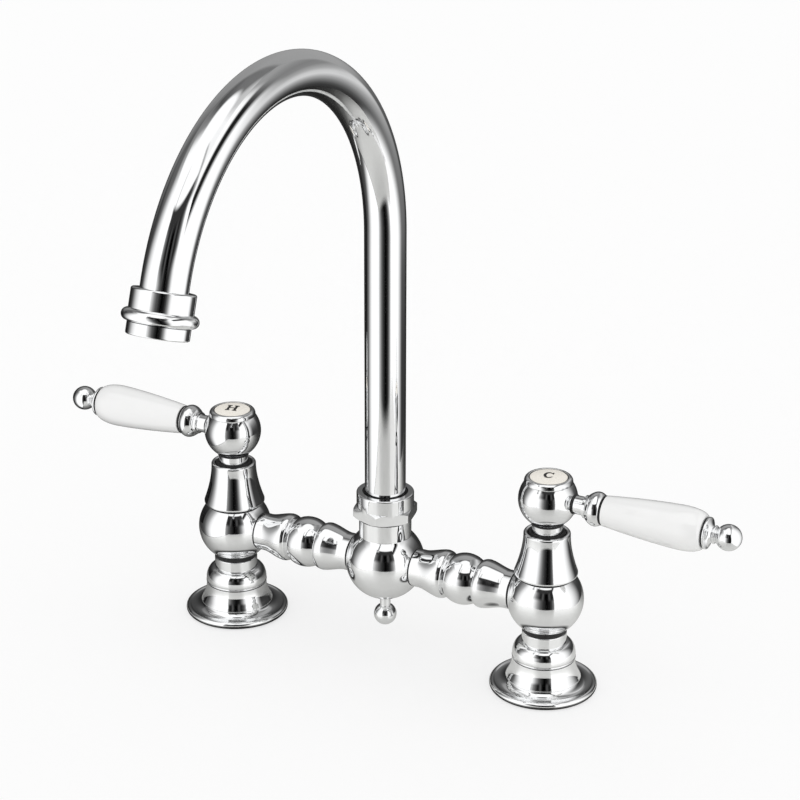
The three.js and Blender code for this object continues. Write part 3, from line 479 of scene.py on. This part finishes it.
def bell():
    top, flare, curve = 12.9, 4.6, 1.75
    outline = [(12.0, 69.58)] + arc(16.8, 70.28, 0.7, -90, 0, 6)
    outline += sweep(70.98, 92.9, lambda t: top + flare * (1 - t) ** curve, 24)
    outline += arc(11.65, 93.6, 1.25, 0, 160, 14)
    outline += [(10.4, 93.6), (10.4, 90.98), (12.0, 90.98), (12.0, 69.58)]
    piece = turned("bell", outline, PILLAR)
    fit_pair(piece, "bonnet", "bridge", "chrome", CHROME, "bonnet")
    # The dark ring in the bonnet's mouth: partly a seal, partly painted shade deep in the recess.
    ring = [(8.6, 92.2), (10.2, 92.2), (10.2, 94.3), (9.8, 95.1), (8.6, 95.3), (8.6, 92.2)]
    piece = turned("dust", ring, PILLAR, edge=0.15)
    fit_pair(piece, "dust_ring", "bridge", "rubber", RUBBER_AND_SHADE)
    # Painted shade: a thin dark ring under the bonnet's lip, where the ball is in shade.
    piece = turned("gasket", flat_ring(15.5, 16.6, 68.9, 69.55), PILLAR, edge=0)
    fit_pair(piece, "bonnet_gasket", "bridge", "rubber", RUBBER_AND_SHADE)


# ---- Handles -----------------------------------------------------------------------------

HANDLE = "{side}_handle"


def hub():
    low, high = -angle_at(HUB_RADIUS, NECK_RADIUS), angle_at(HUB_RADIUS, 12.3)
    outline = [(4.6, 91.58), (NECK_RADIUS, 91.58)]
    outline += arc(0, HUB_HEIGHT, HUB_RADIUS, low, high, 32)
    outline += [(9.5, 124.95), (9.5, 118.15), (2.4, 118.15), (2.4, 111.15), (4.6, 111.15)]
    outline += [(4.6, 91.58)]
    piece = turned("hub", outline, PILLAR, edge=None, steps=FINE)
    soften(piece, CUT_EDGE)
    bored(piece, 4.5, 10, 18, HUB)
    polish(piece, 0)
    fit_pair(piece, "hub_ball", HANDLE, "chrome", CHROME, "hub_ball")
    # Painted shade: a thin dark ring where the hub ball meets its neck.
    inside, low = 8.45, 99.75
    under = [(r, HUB_HEIGHT - chord(16.35, r)) for r in (9.2, 8.8, inside)]
    ring = [(inside, low), (9.1, low)] + under + [(inside, low)]
    piece = turned("ring", ring, PILLAR, edge=0)
    fit_pair(piece, "hub_seal", HANDLE, "rubber", RUBBER_AND_SHADE)


def bezel():
    outline = [(7, 122.65), (9.2, 122.65), (9.2, 125.25), (12.2, 125.25)]
    outline += [(r, HUB_HEIGHT + chord(16.5, r)) for r in (12.5, 12.9, 13.15)]
    outline += arc(12.6, 124.5, 0.75, -40, 10, 4)
    outline += hollow((13.3, 125.1), (12.9, 127.2), (11.0, 127.35))
    outline += [(10.65, 127.2), (10.65, 125.65), (7, 125.65), (7, 122.65)]
    piece = turned("bezel", outline, PILLAR, steps=FINE, edge=0.1)
    fit_pair(piece, "index_bezel", HANDLE, "chrome", CHROME, "index_bezel")
    dome = [(10 - i, 127.1 + 0.95 * (1 - (1 - 0.1 * i) ** 2)) for i in range(11)]
    disc = [(0, 125.95), (10.2, 125.95), (10.2, 126.95)] + dome
    piece = turned("disc", disc, PILLAR, steps=FINE, edge=0)
    fit_pair(piece, "index_disc", HANDLE, "index", IVORY, "index_disc")
    piece = turned("ring", flat_ring(10.25, 10.6, 126.1, 126.8), PILLAR, edge=0)
    fit_pair(piece, "index_line", HANDLE, "rubber", RUBBER_AND_SHADE)


LETTER_TURN = math.radians(105)
LETTER_LOW, LETTER_HIGH = 127.8, 128.13


def oval(wide, tall, middle, a, b, steps=14):
    """Points of an oval whose middle is moved to the right; angles in degrees."""
    angles = [math.radians(a + (b - a) * i / steps) for i in range(steps + 1)]
    return [(middle + wide * math.cos(t), tall * math.sin(t)) for t in angles]


def letter(name, shape, side, centre):
    """A raised letter of the index: its outline is drawn, filled and pulled up."""
    up = Vector((math.cos(LETTER_TURN), math.sin(LETTER_TURN), 0))
    right = Vector((up.y, -up.x, 0))
    points = [(centre + right * u + up * v + UP * LETTER_LOW) * MM for u, v in shape]
    piece = drawn(name, points + points[:1])
    bpy.ops.mesh.select_all(action="SELECT")
    bpy.ops.mesh.remove_doubles(threshold=WELD * MM)
    bpy.ops.mesh.edge_face_add()
    bpy.ops.mesh.extrude_region_move(
        TRANSFORM_OT_translate={"value": UP * (LETTER_HIGH - LETTER_LOW) * MM})
    weld()
    settle(piece)
    polish(piece, edge=0.03, corner=40, segments=1)
    fit(piece, side + "_handle", "index", LETTER)


def letters():
    """The C and the H, drawn as (right, up) points in millimetres from the disc's middle."""
    c = [(2.5, 3.6), (2.15, 3.6), (1.95, 3.1)]
    c += oval(2.75, 3.65, -0.05, 54, 316)
    c += [(2.6, -1.7), (2.2, -1.7)]
    c += oval(1.6, 2.75, 0.35, -50, -300)
    c += [(2.1, 1.4), (2.5, 1.4)]
    letter("letter_cold", c, "cold", PILLAR)
    quarter = [(1.35, 0.5), (1.35, 2.9), (0.7, 2.9), (0.7, 3.6), (3.4, 3.6), (3.4, 2.9),
               (2.75, 2.9)]
    h = quarter + [(u, -v) for u, v in quarter[::-1]]
    h += [(-u, -v) for u, v in quarter] + [(-u, v) for u, v in quarter[::-1]]
    letter("letter_hot", h, "hot", -PILLAR)


def seam(stem, low, high, inside, outside, base, body, middle=0, facing=1):
    """A thin dark ring that follows a ball, between the ball and what stands on it; it is painted
    shade in the joint.
    """
    radii = [inside + (outside - inside) * i / 3 for i in range(4)]
    ring = [(r, middle + facing * chord(low, r)) for r in radii]
    ring += [(r, middle + facing * chord(high, r)) for r in reversed(radii)]
    piece = along_x("seam", ring + ring[:1], base, edge=0)
    fit_pair(piece, stem, body, "rubber", RUBBER_AND_SHADE)


def lever():
    step, swell = 6.3, 3.2
    bead = sweep(24.4, 32.4, lambda t: step + swell * math.sin((0.12 + 0.7 * t) * math.pi))
    saddle = [(r, chord(17.3, r)) for r in (4.2, 4.65, 5.1)]
    outline = [(0, 10.3), (4.2, 10.3)] + saddle + [(5.1, 22), (step, 22), (step, 23.7)]
    outline += bead + [(ROD_HOLE, 32.4), (ROD_HOLE, 24.1), (0, 24.1)]
    piece = along_x("ferrule", outline, HUB)
    fit_pair(piece, "lever_ferrule", HANDLE, "chrome", CHROME, "lever_ferrule")
    seam("stub_seam", 16.35, 17.25, 4.5, 5.5, HUB, HANDLE)

    for end, start in (("inner", 32.7), ("outer", 90.5)):
        piece = along_x("washer", flat_ring(ROD_HOLE, 8.2, start, start + 0.6), HUB, edge=0.1)
        fit_pair(piece, end + "_washer", HANDLE, "rubber", RUBBER_AND_SHADE, "lever_washer_" + end)

    widest, taper, curve = 12, 3.6, 1.5
    end_face, end_length, end_at = 8.5, 12.0, 78.2
    outline = [(ROD_HOLE, 33.6), (7.6, 33.6)] + arc(7.9, 34.1, 0.5, -90, -10, 4)
    outline += sweep(34.2, end_at, lambda t: widest - taper * (1 - t) ** curve, 28)
    outline += [(end_face + (widest - end_face) * math.cos(a), end_at + end_length * math.sin(a))
                for a in (math.radians(9 * i) for i in range(1, 11))]
    outline += [(ROD_HOLE, 90.2), (ROD_HOLE, 33.6)]
    piece = along_x("grip", outline, HUB, edge=0.25)
    fit_pair(piece, "lever_grip", HANDLE, "porcelain", PORCELAIN, "lever_grip")

    ball, stem = 7.1, 3.7
    outline = [(0, 99.7), (ROD_HOLE, 99.7), (ROD_HOLE, 91.4), (8.65, 91.4), (8.65, 92.3)]
    outline += hollow((8.5, 92.6), (5.4, 92.9), (4.5, 94.9), 6) + [(stem, 95.2)]
    outline += arc(4.3, 96.0, 0.65, -90, 90, 8) + [(stem, 96.8)]
    outline += arc(0, 103.5, ball, -angle_at(ball, stem), 90, 22)[:-1] + [(0, 110.6)]
    piece = along_x("finial", outline, HUB)
    fit_pair(piece, "lever_finial", HANDLE, "chrome", CHROME, "lever_finial")


# ---- Bridge ------------------------------------------------------------------------------

def arms():
    """A ball between two cones; each cone ends in a rounded nose at the ball's groove."""
    shoulder, nose, nose_length, nose_at = 13.8, 1.8, 3.7, ARM_BALL_AT - 13.2
    straight, curved = 0.45, 0.55
    turn = angle_at(ARM_BALL_RADIUS, chord(ARM_BALL_RADIUS, 9.2))
    rise = sweep(ARM_BALL_AT - 26, nose_at, lambda t: ARM_RADIUS + (shoulder - ARM_RADIUS) * (
        straight * t + curved * (3 * t * t - 2 * t ** 3)))
    rise += [(shoulder - nose + nose * math.cos(a), nose_at + nose_length * math.sin(a))
             for a in (math.radians(9 * i) for i in range(1, 10))]
    fall = [(r, 2 * ARM_BALL_AT - x) for r, x in reversed(rise)]
    spigot, hole = 8.0, 5.5
    radii = (spigot, 8.9, 9.8, ARM_RADIUS)
    near = [(r, chord(23, r)) for r in radii]
    far = [(r, PILLAR.x - chord(21.8, r)) for r in reversed(radii)]
    outline = [(hole, 12.64), (spigot, 12.64)] + near + rise
    outline += arc(0, ARM_BALL_AT, ARM_BALL_RADIUS, -turn, turn, 20) + fall + far
    outline += [(spigot, 88.7), (hole, 88.7), (hole, 12.64)]
    piece = along_x("arm", outline, BRIDGE)
    fit_pair(piece, "arm", "bridge", "chrome", CHROME, "arm")
    seam("inner_seam", 22.45, 22.9, 8.5, 10.85, BRIDGE, "bridge")
    seam("outer_seam", 21.25, 21.7, 8.5, 10.85, BRIDGE, "bridge", PILLAR.x, -1)


def centre():
    neck, knob_hole = 14.8, 2.6
    low, high = -angle_at(CENTRE_RADIUS, knob_hole), angle_at(CENTRE_RADIUS, neck)
    outline = [(knob_hole, 40.2)] + arc(0, BRIDGE_HEIGHT, CENTRE_RADIUS, low, high, 36)
    outline += [(neck, 82), (14, 82), (14, 90.6), (12.5, 90.6), (12.5, 64.6), (6, 64.6)]
    outline += [(6, BRIDGE_HEIGHT), (0, BRIDGE_HEIGHT), (0, 40.2), (knob_hole, 40.2)]
    piece = turned("centre", outline, edge=None, steps=FINE)
    soften(piece, CUT_EDGE)
    bored(piece, PORT_RADIUS, -24, 24, BRIDGE)
    polish(piece, 0)
    fit(piece, "bridge", "chrome", CHROME, "centre_body")

    ball, stem = 6.5, 3
    outline = arc(0, 20.33, ball, -90, angle_at(ball, stem), 22)
    outline[0] = (0, outline[0][1])
    outline += [(stem, 30.5), (4.6, 31.05), (4.6, 31.6), (2.3, 31.6), (2.3, 39.6), (0, 39.6)]
    piece = turned("knob", outline, steps=72)
    fit(piece, "bridge", "chrome", CHROME, "drop_knob")


def nut():
    """A hexagon with turned corners and a round collar above it."""
    corner, low, high = 18.6, 82.3, 89.1
    middle, height, turn = 85.7, 6.8, math.radians(11.5)
    face = corner * math.cos(math.pi / 6) - 0.2
    bpy.ops.object.select_all(action="DESELECT")
    bpy.ops.mesh.primitive_cylinder_add(
        vertices=6, radius=corner * MM, depth=height * MM, location=UP * middle * MM,
        rotation=(0, 0, turn))
    piece = named("nut")
    settle(piece)
    modify(piece, "BEVEL", width=0.4 * MM, segments=3)
    turning = [(0, low), (face, low)]
    turning += hollow((face, low), (corner, 83.0), (corner + 1, 84.9), 6)
    turning += hollow((corner + 1, 86.5), (corner, 88.4), (face, high), 6) + [(0, high)]
    combined(piece, turned("turning", turning, edge=None), "INTERSECT")
    ring = [(0, 83.3), (15.0, 83.3), (16.2, 88.1)] + arc(15.4, 96.7, 0.8, 0, 90, 6)
    ring += [(0, 97.5)]
    combined(piece, turned("ring", ring, edge=None), "UNION")
    bore = [(0, 80), (14.3, 80), (14.3, 94.7), (12.9, 94.7), (12.9, 99), (0, 99)]
    combined(piece, turned("bore", bore, edge=None), "DIFFERENCE")
    polish(piece, 0, 24)
    fit(piece, "bridge", "chrome", CHROME, "union_nut")
    # The bush shows in the gap at the nut's top; its dark colour is partly painted shade.
    bush = [(11.8, 91.0), (14, 91.0), (14, 94.4), (12.75, 94.4), (12.75, 96.7), (11.8, 96.7),
            (11.8, 91.0)]
    fit(turned("bush", bush), "bridge", "plastic", BUSH_PLASTIC_AND_SHADE, "spout_bush")
    # Painted shade: a thin dark ring under the nut, for the shadow gap between the nut and the
    # neck.
    washer = turned("nut_washer", flat_ring(14.85, 15.5, 81.6, 82.25), edge=0)
    fit(washer, "bridge", "rubber", RUBBER_AND_SHADE)


# ---- Spout -------------------------------------------------------------------------------

def swan_neck():
    """A ring drawn up, spun round the bend and drawn on to the tip, then given its wall."""
    foot_at = 96
    bpy.ops.object.select_all(action="DESELECT")
    bpy.ops.mesh.primitive_circle_add(vertices=96, radius=TUBE_RADIUS * MM,
                                      location=UP * foot_at * MM)
    piece = named("tube")
    editing(piece)
    bpy.ops.mesh.extrude_region_move(
        TRANSFORM_OT_translate={"value": UP * (BEND_START - foot_at) * MM})
    bpy.ops.mesh.spin(steps=96, angle=BEND_ANGLE, axis=(-1, 0, 0),
                      center=(0, -BEND_RADIUS * MM, BEND_START * MM))
    bpy.ops.mesh.extrude_region_move(TRANSFORM_OT_translate={"value": TIP_AXIS * 12.5 * MM})
    weld()
    settle(piece)
    modify(piece, "SOLIDIFY", thickness=1.5 * MM, offset=-1)
    polish(piece, 0.1, 50)
    fit(piece, "spout", "chrome", CHROME, "spout_tube")


def at_tip(name, outline, **settings):
    return turned(name, outline, TIP, TIP_AXIS, TIP_OUT, **settings)


def outlet():
    """The ring at the spout's tip, the housing and its insert with a middle hole and six more."""
    outline = [(11.8, 2.8)] + arc(14.35, 3.8, 1.0, -90, 0, 6) + [(15.35, 12.6)]
    outline += arc(15.2, 15.6, 2.995, -80, 90, 14)
    outline += [(13.3, 18.6), (13.3, 12.8), (11.8, 12.8), (11.8, 2.8)]
    fit(at_tip("collar_ring", outline), "spout", "chrome", CHROME, "spout_collar")
    outline = [(11.2, 14.4), (13, 14.4), (13, 18.9), (15, 18.9)]
    outline += arc(14.2, 23.9, 0.8, 0, 90, 6)
    outline += [(10.4, 24.7), (10.4, 19.8), (11.2, 19.8), (11.2, 14.4)]
    fit(at_tip("housing", outline), "spout", "chrome", CHROME, "aerator_housing")
    outline = [(0, 15.2), (10.7, 15.2), (10.9, 15.4), (10.9, 19.3), (10.7, 19.5), (0, 19.5)]
    insert = at_tip("insert", outline, edge=None)
    holes, spread = 6, 6.2
    for i in range(holes + 1):
        offset = Vector((0, 0, 0))
        if i:
            a = i * math.tau / holes
            offset = RIGHT * spread * math.cos(a) + TIP_OUT * spread * math.sin(a)
        bored(insert, 1.3, 14, 21, TIP + offset, TIP_AXIS, TIP_OUT)
    polish(insert, 0)
    fit(insert, "spout", "plastic", PLASTIC, "aerator_insert")


foot()
collar()
valve_ball()
bell()
hub()
bezel()
letters()
lever()
arms()
centre()
nut()
swan_neck()
outlet()

# ---- Finishes of the solids that stay as they are ----------------------------------------

INNER = {
    "seat_seal": RUBBER_AND_SHADE, "cartridge_body": BRASS, "disc_fixed": CERAMIC,
    "disc_moving": CERAMIC, "spindle": BRASS, "handle_screw": BRASS, "lever_rod": BRASS,
    "spout_circlip": BRASS, "spout_tailpiece": BRASS, "o_ring_lower": RUBBER_AND_SHADE,
    "o_ring_upper": RUBBER_AND_SHADE, "aerator_washer": RUBBER_AND_SHADE,
}
for name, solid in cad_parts.items():
    stem = name.replace("hot_", "").replace("cold_", "")
    if stem in INNER:
        solid.data.materials.clear()
        solid.data.materials.append(INNER[stem])


# ---- Deck, light and camera --------------------------------------------------------------

CAMERA_AZIMUTH = math.radians(28)
FRONT = (math.sin(CAMERA_AZIMUTH), -math.cos(CAMERA_AZIMUTH), 0)
SIDE = (math.cos(CAMERA_AZIMUTH), math.sin(CAMERA_AZIMUTH), 0)


def along(tree, vector, direction):
    """How far a vector reaches in a direction."""
    made = node(tree, "VectorMath", {0: vector, 1: direction}, operation="DOT_PRODUCT")
    return made.outputs["Value"]


def share(tree, value, low, high):
    """Where a value is between two others, from 0 to 1."""
    made = node(tree, "MapRange", {"Value": value, "From Min": low, "From Max": high})
    return made.outputs["Result"]


def smooth(tree, value, low, high):
    """The same with soft ends; low may be the larger one."""
    made = node(tree, "MapRange", {"Value": value, "From Min": low, "From Max": high},
                interpolation_type="SMOOTHSTEP")
    return made.outputs["Result"]


def math_of(tree, operation, *values):
    made = node(tree, "Math", dict(enumerate(values)), operation=operation)
    return made.outputs[0]


def mixed(tree, factor, a, b):
    """A colour between two."""
    return node(tree, "Mix", {0: factor, 6: a, 7: b}, data_type="RGBA").outputs[2]


def times(tree, a, b):
    """One colour times another."""
    return node(tree, "Mix", {0: 1.0, 6: a, 7: b}, data_type="RGBA",
                blend_type="MULTIPLY").outputs[2]


def between(tree, factor, a, b):
    """One shader turning into another; the factor may be a number."""
    return node(tree, "MixShader", {0: factor, 1: a.outputs[0], 2: b.outputs[0]})


WHITE = (1, 1, 1, 1)
EVEN_LIGHT = 0.982
# The table top that reflections show and the painted contact shadow round each foot, in metres.
TABLE_LEFT, TABLE_RIGHT, TABLE_EDGE = -0.21, 0.28, 0.004
TABLE_BACK, TABLE_FRONT, TABLE_FADE = -0.3, 0.5, (0.31, 0.385)
FOOT_SHADOW_START, FOOT_SHADOW_END = 0.029, 0.041
# How much of the table top and of the white floor is their own light; the table's gloss.
TABLE_GLOW, FLOOR_GLOW = 0.4, 0.62
GLOSS, GLOSS_POWER = 0.75, 2.2


def deck():
    """The floor: white to the camera, with the shadow; in reflections a grey table top.

    From below it is clear to the camera.
    """
    bpy.ops.object.select_all(action="DESELECT")
    bpy.ops.mesh.primitive_circle_add(vertices=64, radius=4, fill_type="TRIFAN",
                                      location=(0, 0, -0.0001))
    floor = named("deck_surface")
    settle(floor)
    material, tree = new_material("deck")
    place = node(tree, "TexCoord").outputs["Object"]
    ahead, across = along(tree, place, FRONT), along(tree, place, SIDE)
    left = smooth(tree, across, TABLE_LEFT + TABLE_EDGE, TABLE_LEFT)
    right = smooth(tree, across, TABLE_RIGHT - TABLE_EDGE, TABLE_RIGHT)
    front = smooth(tree, ahead, *TABLE_FADE)
    beyond = math_of(tree, "MAXIMUM", math_of(tree, "MAXIMUM", left, right), front)
    speck = node(tree, "TexNoise", {"Vector": place, "Scale": 40.0}).outputs["Fac"]
    top = ramp(tree, speck, [(0.3, (0.60, 0.60, 0.585)), (0.7, (0.62, 0.62, 0.605))])
    # Painted light and shade on the table top: dark towards the back, where the object's shadow
    # falls, and brighter in front.
    lit = ramp(tree, share(tree, ahead, TABLE_BACK, TABLE_FRONT),
               [(0, 0.03), (0.15, 0.06), (0.24, 0.2), (0.31, 0.6), (0.36, 0.95), (0.42, 1.12),
                (0.54, 1.1), (0.62, 0.98), (0.7, 0.9), (1, 0.84)])
    edge = ramp(tree, share(tree, across, TABLE_LEFT, TABLE_LEFT + 3 * TABLE_EDGE),
                [(0.3, 0.1), (0.45, 0.1), (0.6, 1.0)])
    top = times(tree, times(tree, top, edge), lit)
    # Painted contact shadow on the table top round each foot.
    for foot_at in (PILLAR, -PILLAR):
        away = node(tree, "VectorMath", {0: place, 1: tuple(foot_at * MM)}, operation="DISTANCE")
        reach = share(tree, away.outputs["Value"], FOOT_SHADOW_START, FOOT_SHADOW_END)
        top = times(tree, top, ramp(tree, reach, [(0.0, 0.02), (0.4, 0.1), (1.0, 1.0)]))
    table = between(tree, TABLE_GLOW, node(tree, "BsdfDiffuse", {"Color": top}),
                    node(tree, "Emission", {"Color": top, "Strength": EVEN_LIGHT}))
    grazing = node(tree, "LayerWeight", {"Blend": 0.5}).outputs["Facing"]
    gloss = math_of(tree, "MULTIPLY", math_of(tree, "POWER", grazing, GLOSS_POWER), GLOSS)
    sheen = node(tree, "BsdfTransparent", {"Color": gloss})
    near = node(tree, "AddShader", {0: table.outputs[0], 1: sheen.outputs[0]})
    clear = node(tree, "BsdfTransparent")
    reflected = between(tree, beyond, near, clear)
    white = between(tree, FLOOR_GLOW, node(tree, "BsdfDiffuse", {"Color": WHITE}),
                    node(tree, "Emission", {"Color": WHITE, "Strength": EVEN_LIGHT}))
    white = between(tree, node(tree, "NewGeometry").outputs["Backfacing"], white, clear)
    camera_ray = node(tree, "LightPath").outputs["Is Camera Ray"]
    surface(tree, between(tree, camera_ray, reflected, white))
    floor.data.materials.append(material)


SOFT_BOX = 1.12
SOFT_BOX_TOP, SOFT_BOX_FADE = 0.86, 0.06
SLANT, SLANT_END = 0.4, 0.45


def lamp_sheet(name, start, end, low, high, paint):
    """An upright sheet of light, seen in reflections only; paint gives its colour and cover."""
    piece = drawn(name, [start + UP * low, end + UP * low])
    bpy.ops.mesh.select_all(action="SELECT")
    bpy.ops.mesh.extrude_region_move(TRANSFORM_OT_translate={"value": UP * (high - low)})
    done()
    settle(piece)
    material, tree = new_material(name)
    colour, cover = paint(tree, node(tree, "TexCoord").outputs["Object"])
    lamp = node(tree, "Emission", {"Color": colour, "Strength": SOFT_BOX})
    seen = math_of(tree, "MULTIPLY", cover, node(tree, "LightPath").outputs["Is Glossy Ray"])
    surface(tree, between(tree, seen, node(tree, "BsdfTransparent"), lamp))
    piece.data.materials.append(material)


def spot(ahead, across):
    """A place on the floor, in metres towards the camera and to its right."""
    return Vector(FRONT) * ahead + Vector(SIDE) * across


def left_box(tree, place):
    """White, with a soft slanting back edge."""
    height, ahead = along(tree, place, (0, 0, 1)), along(tree, place, FRONT)
    slant = math_of(tree, "MULTIPLY", math_of(tree, "MINIMUM", math_of(
        tree, "MAXIMUM", height, 0.0), SLANT_END), SLANT)
    lean = math_of(tree, "SUBTRACT", ahead, slant)
    top = smooth(tree, height, SOFT_BOX_TOP, SOFT_BOX_TOP - SOFT_BOX_FADE)
    return WHITE, math_of(tree, "MULTIPLY", top, smooth(tree, lean, -0.12, 0.17))


def right_box(tree, place):
    """White in front up to a dark gap, dimmer towards the back."""
    height, ahead = along(tree, place, (0, 0, 1)), along(tree, place, FRONT)
    front = ramp(tree, height, [(0, 1), (0.44, 1), (0.475, 0.5), (0.51, 0.04), (0.53, 0.01),
                                (0.59, 0.01), (0.61, 0.06), (0.64, 0.6), (0.67, 1), (1, 1)])
    back = ramp(tree, height, [(0, 0.03), (0.07, 0.04), (0.13, 0.08), (0.19, 0.18), (0.245, 0.34),
                               (0.3, 0.6), (0.34, 0.55), (0.38, 0.37), (0.45, 0.22), (0.52, 0.2),
                               (0.6, 0.24), (0.7, 0.3), (1, 0.3)])
    colour = mixed(tree, smooth(tree, ahead, -0.06, 0.12), back, front)
    top = smooth(tree, height, SOFT_BOX_TOP, SOFT_BOX_TOP - SOFT_BOX_FADE)
    return colour, math_of(tree, "MULTIPLY", top, smooth(tree, ahead, -0.38, -0.26))


def back_wall(tree, place):
    """Dim, and darker towards its foot and its left end."""
    height, across = along(tree, place, (0, 0, 1)), along(tree, place, SIDE)
    upright = ramp(tree, height, [(0, 0.02), (0.1, 0.03), (0.2, 0.06), (0.3, 0.12), (0.36, 0.28),
                                  (0.42, 0.32), (1, 0.3)])
    sides = ramp(tree, share(tree, across, -1.0, 1.0),
                 [(0, 0.2), (0.15, 0.3), (0.35, 0.8), (0.5, 1), (1, 1)])
    return times(tree, upright, sides), smooth(tree, height, 1.0, 0.85)


LEFT_AT, RIGHT_AT, BACK_AT = -0.42, 0.28, -0.42

# The room beyond the sheets, at four heights: (degrees to the right of the camera, brightness).
# Between each two rises, in degrees, a height turns into the next one, and the last into white.
ROOM_RISES = ((12, 24), (34, 42), (47, 51), (64, 72))
LOW_BAND = [(-180, 0.03), (-140, 0.03), (-118, 0.05), (-108, 0.09), (-91, 0.37), (-76, 0.9),
            (-68, 1), (-40, 1), (-32, 0.6), (-26, 0.3), (-18, 0.1), (-10, 0.03), (0, 0),
            (10, 0.01), (16, 0.05), (23, 0.25), (32, 0.85), (38, 1), (75, 1), (82, 0.71),
            (90, 0.37), (108, 0.09), (131, 0.03), (180, 0.03)]
MIDDLE_BAND = [(-180, 0.2), (-150, 0.12), (-118, 0.1), (-108, 0.12), (-91, 0.37), (-76, 0.9),
               (-68, 1), (-48, 1), (-41, 0.6), (-34, 0.22), (-28, 0.09), (-21, 0.01),
               (-16, 0.02), (-12, 0.09), (-8, 0.02), (-4, 0), (4, 0), (8, 0.06), (12, 0.06),
               (15, 0.01), (20, 0.02), (26, 0.08), (31, 0.25), (37, 1), (75, 1), (82, 0.71),
               (90, 0.4), (108, 0.2), (125, 0.16), (150, 0.16), (180, 0.2)]
HIGH_BAND = [(-180, 0.2), (-150, 0.13), (-120, 0.25), (-95, 0.4), (-80, 0.8), (-68, 1),
             (-48, 1), (-42, 0.5), (-36, 0.05), (-28, 0.03), (0, 0.03), (28, 0.03), (36, 0.05),
             (44, 0.4), (52, 1), (70, 1), (90, 0.45), (118, 0.42), (140, 0.16), (180, 0.2)]
OVER_BAND = [(-180, 0.14), (-150, 0.07), (-125, 0.25), (-105, 0.9), (-90, 1), (-36, 1),
             (-32, 0.45), (-28, 1), (38, 1), (45, 0.3), (52, 0.9), (80, 0.9), (100, 0.55),
             (120, 0.5), (137, 0.16), (180, 0.15)]


def studio():
    """Even white light; in reflections a dark room with a lit panel overhead."""
    lamp_sheet("soft_box_left", spot(-0.12, LEFT_AT), spot(0.605, LEFT_AT), -SOFT_BOX_TOP,
               SOFT_BOX_TOP, left_box)
    lamp_sheet("soft_box_right", spot(-0.38, RIGHT_AT), spot(0.51, RIGHT_AT), -SOFT_BOX_TOP,
               SOFT_BOX_TOP, right_box)
    lamp_sheet("back_wall", spot(BACK_AT, -0.8), spot(BACK_AT, 1.0), -0.1, 1.0, back_wall)
    world = bpy.data.worlds.new("studio")
    bpy.context.scene.world = world
    tree = tree_of(world)
    ray = node(tree, "TexCoord").outputs["Generated"]
    ahead, across, height = (along(tree, ray, axis) for axis in (FRONT, SIDE, (0, 0, 1)))
    turn = share(tree, math_of(tree, "ARCTAN2", across, ahead), -math.pi, math.pi)
    rise = math_of(tree, "ARCSINE", height)

    def band(stops):
        return ramp(tree, turn, [((place + 180) / 360, value) for place, value in stops])

    walls = band(LOW_BAND)
    uppers = (band(MIDDLE_BAND), band(HIGH_BAND), band(OVER_BAND), WHITE)
    for (start, end), upper in zip(ROOM_RISES, uppers):
        above = smooth(tree, rise, math.radians(start), math.radians(end))
        walls = mixed(tree, above, walls, upper)

    even = node(tree, "Background", {"Color": WHITE, "Strength": EVEN_LIGHT})
    pattern = node(tree, "Background", {"Color": walls, "Strength": SOFT_BOX})
    glossy_ray = node(tree, "LightPath").outputs["Is Glossy Ray"]
    surface(tree, between(tree, glossy_ray, even, pattern), "OutputWorld")


CAMERA_RISE = math.radians(22.1645)
CAMERA_ROLL = math.radians(0.154)
CAMERA_LENS = 106.41
CAMERA_DISTANCE = 1364.05
LOOK_ACROSS, LOOK_UP = 8.5, 140.993


def camera():
    """The camera, aimed at a point across and up from the origin in its own picture."""
    a, e, roll = CAMERA_AZIMUTH, CAMERA_RISE, CAMERA_ROLL
    back = Vector((math.sin(a) * math.cos(e), -math.cos(a) * math.cos(e), math.sin(e)))
    right = Vector((math.cos(a), math.sin(a), 0))
    up = back.cross(right)
    right, up = (right * math.cos(roll) + up * math.sin(roll),
                 up * math.cos(roll) - right * math.sin(roll))
    look_at = right * LOOK_ACROSS + up * LOOK_UP
    data = bpy.data.cameras.new("camera")
    data.lens = CAMERA_LENS
    data.clip_start, data.clip_end = 0.1, 20
    view = bpy.data.objects.new("camera", data)
    bpy.context.scene.collection.objects.link(view)
    view.rotation_euler = Matrix((right, up, back)).transposed().to_euler()
    view.location = (look_at + back * CAMERA_DISTANCE) * MM
    bpy.context.scene.camera = view


deck()
studio()
camera()
bpy.context.scene.view_settings.view_transform = "Standard"
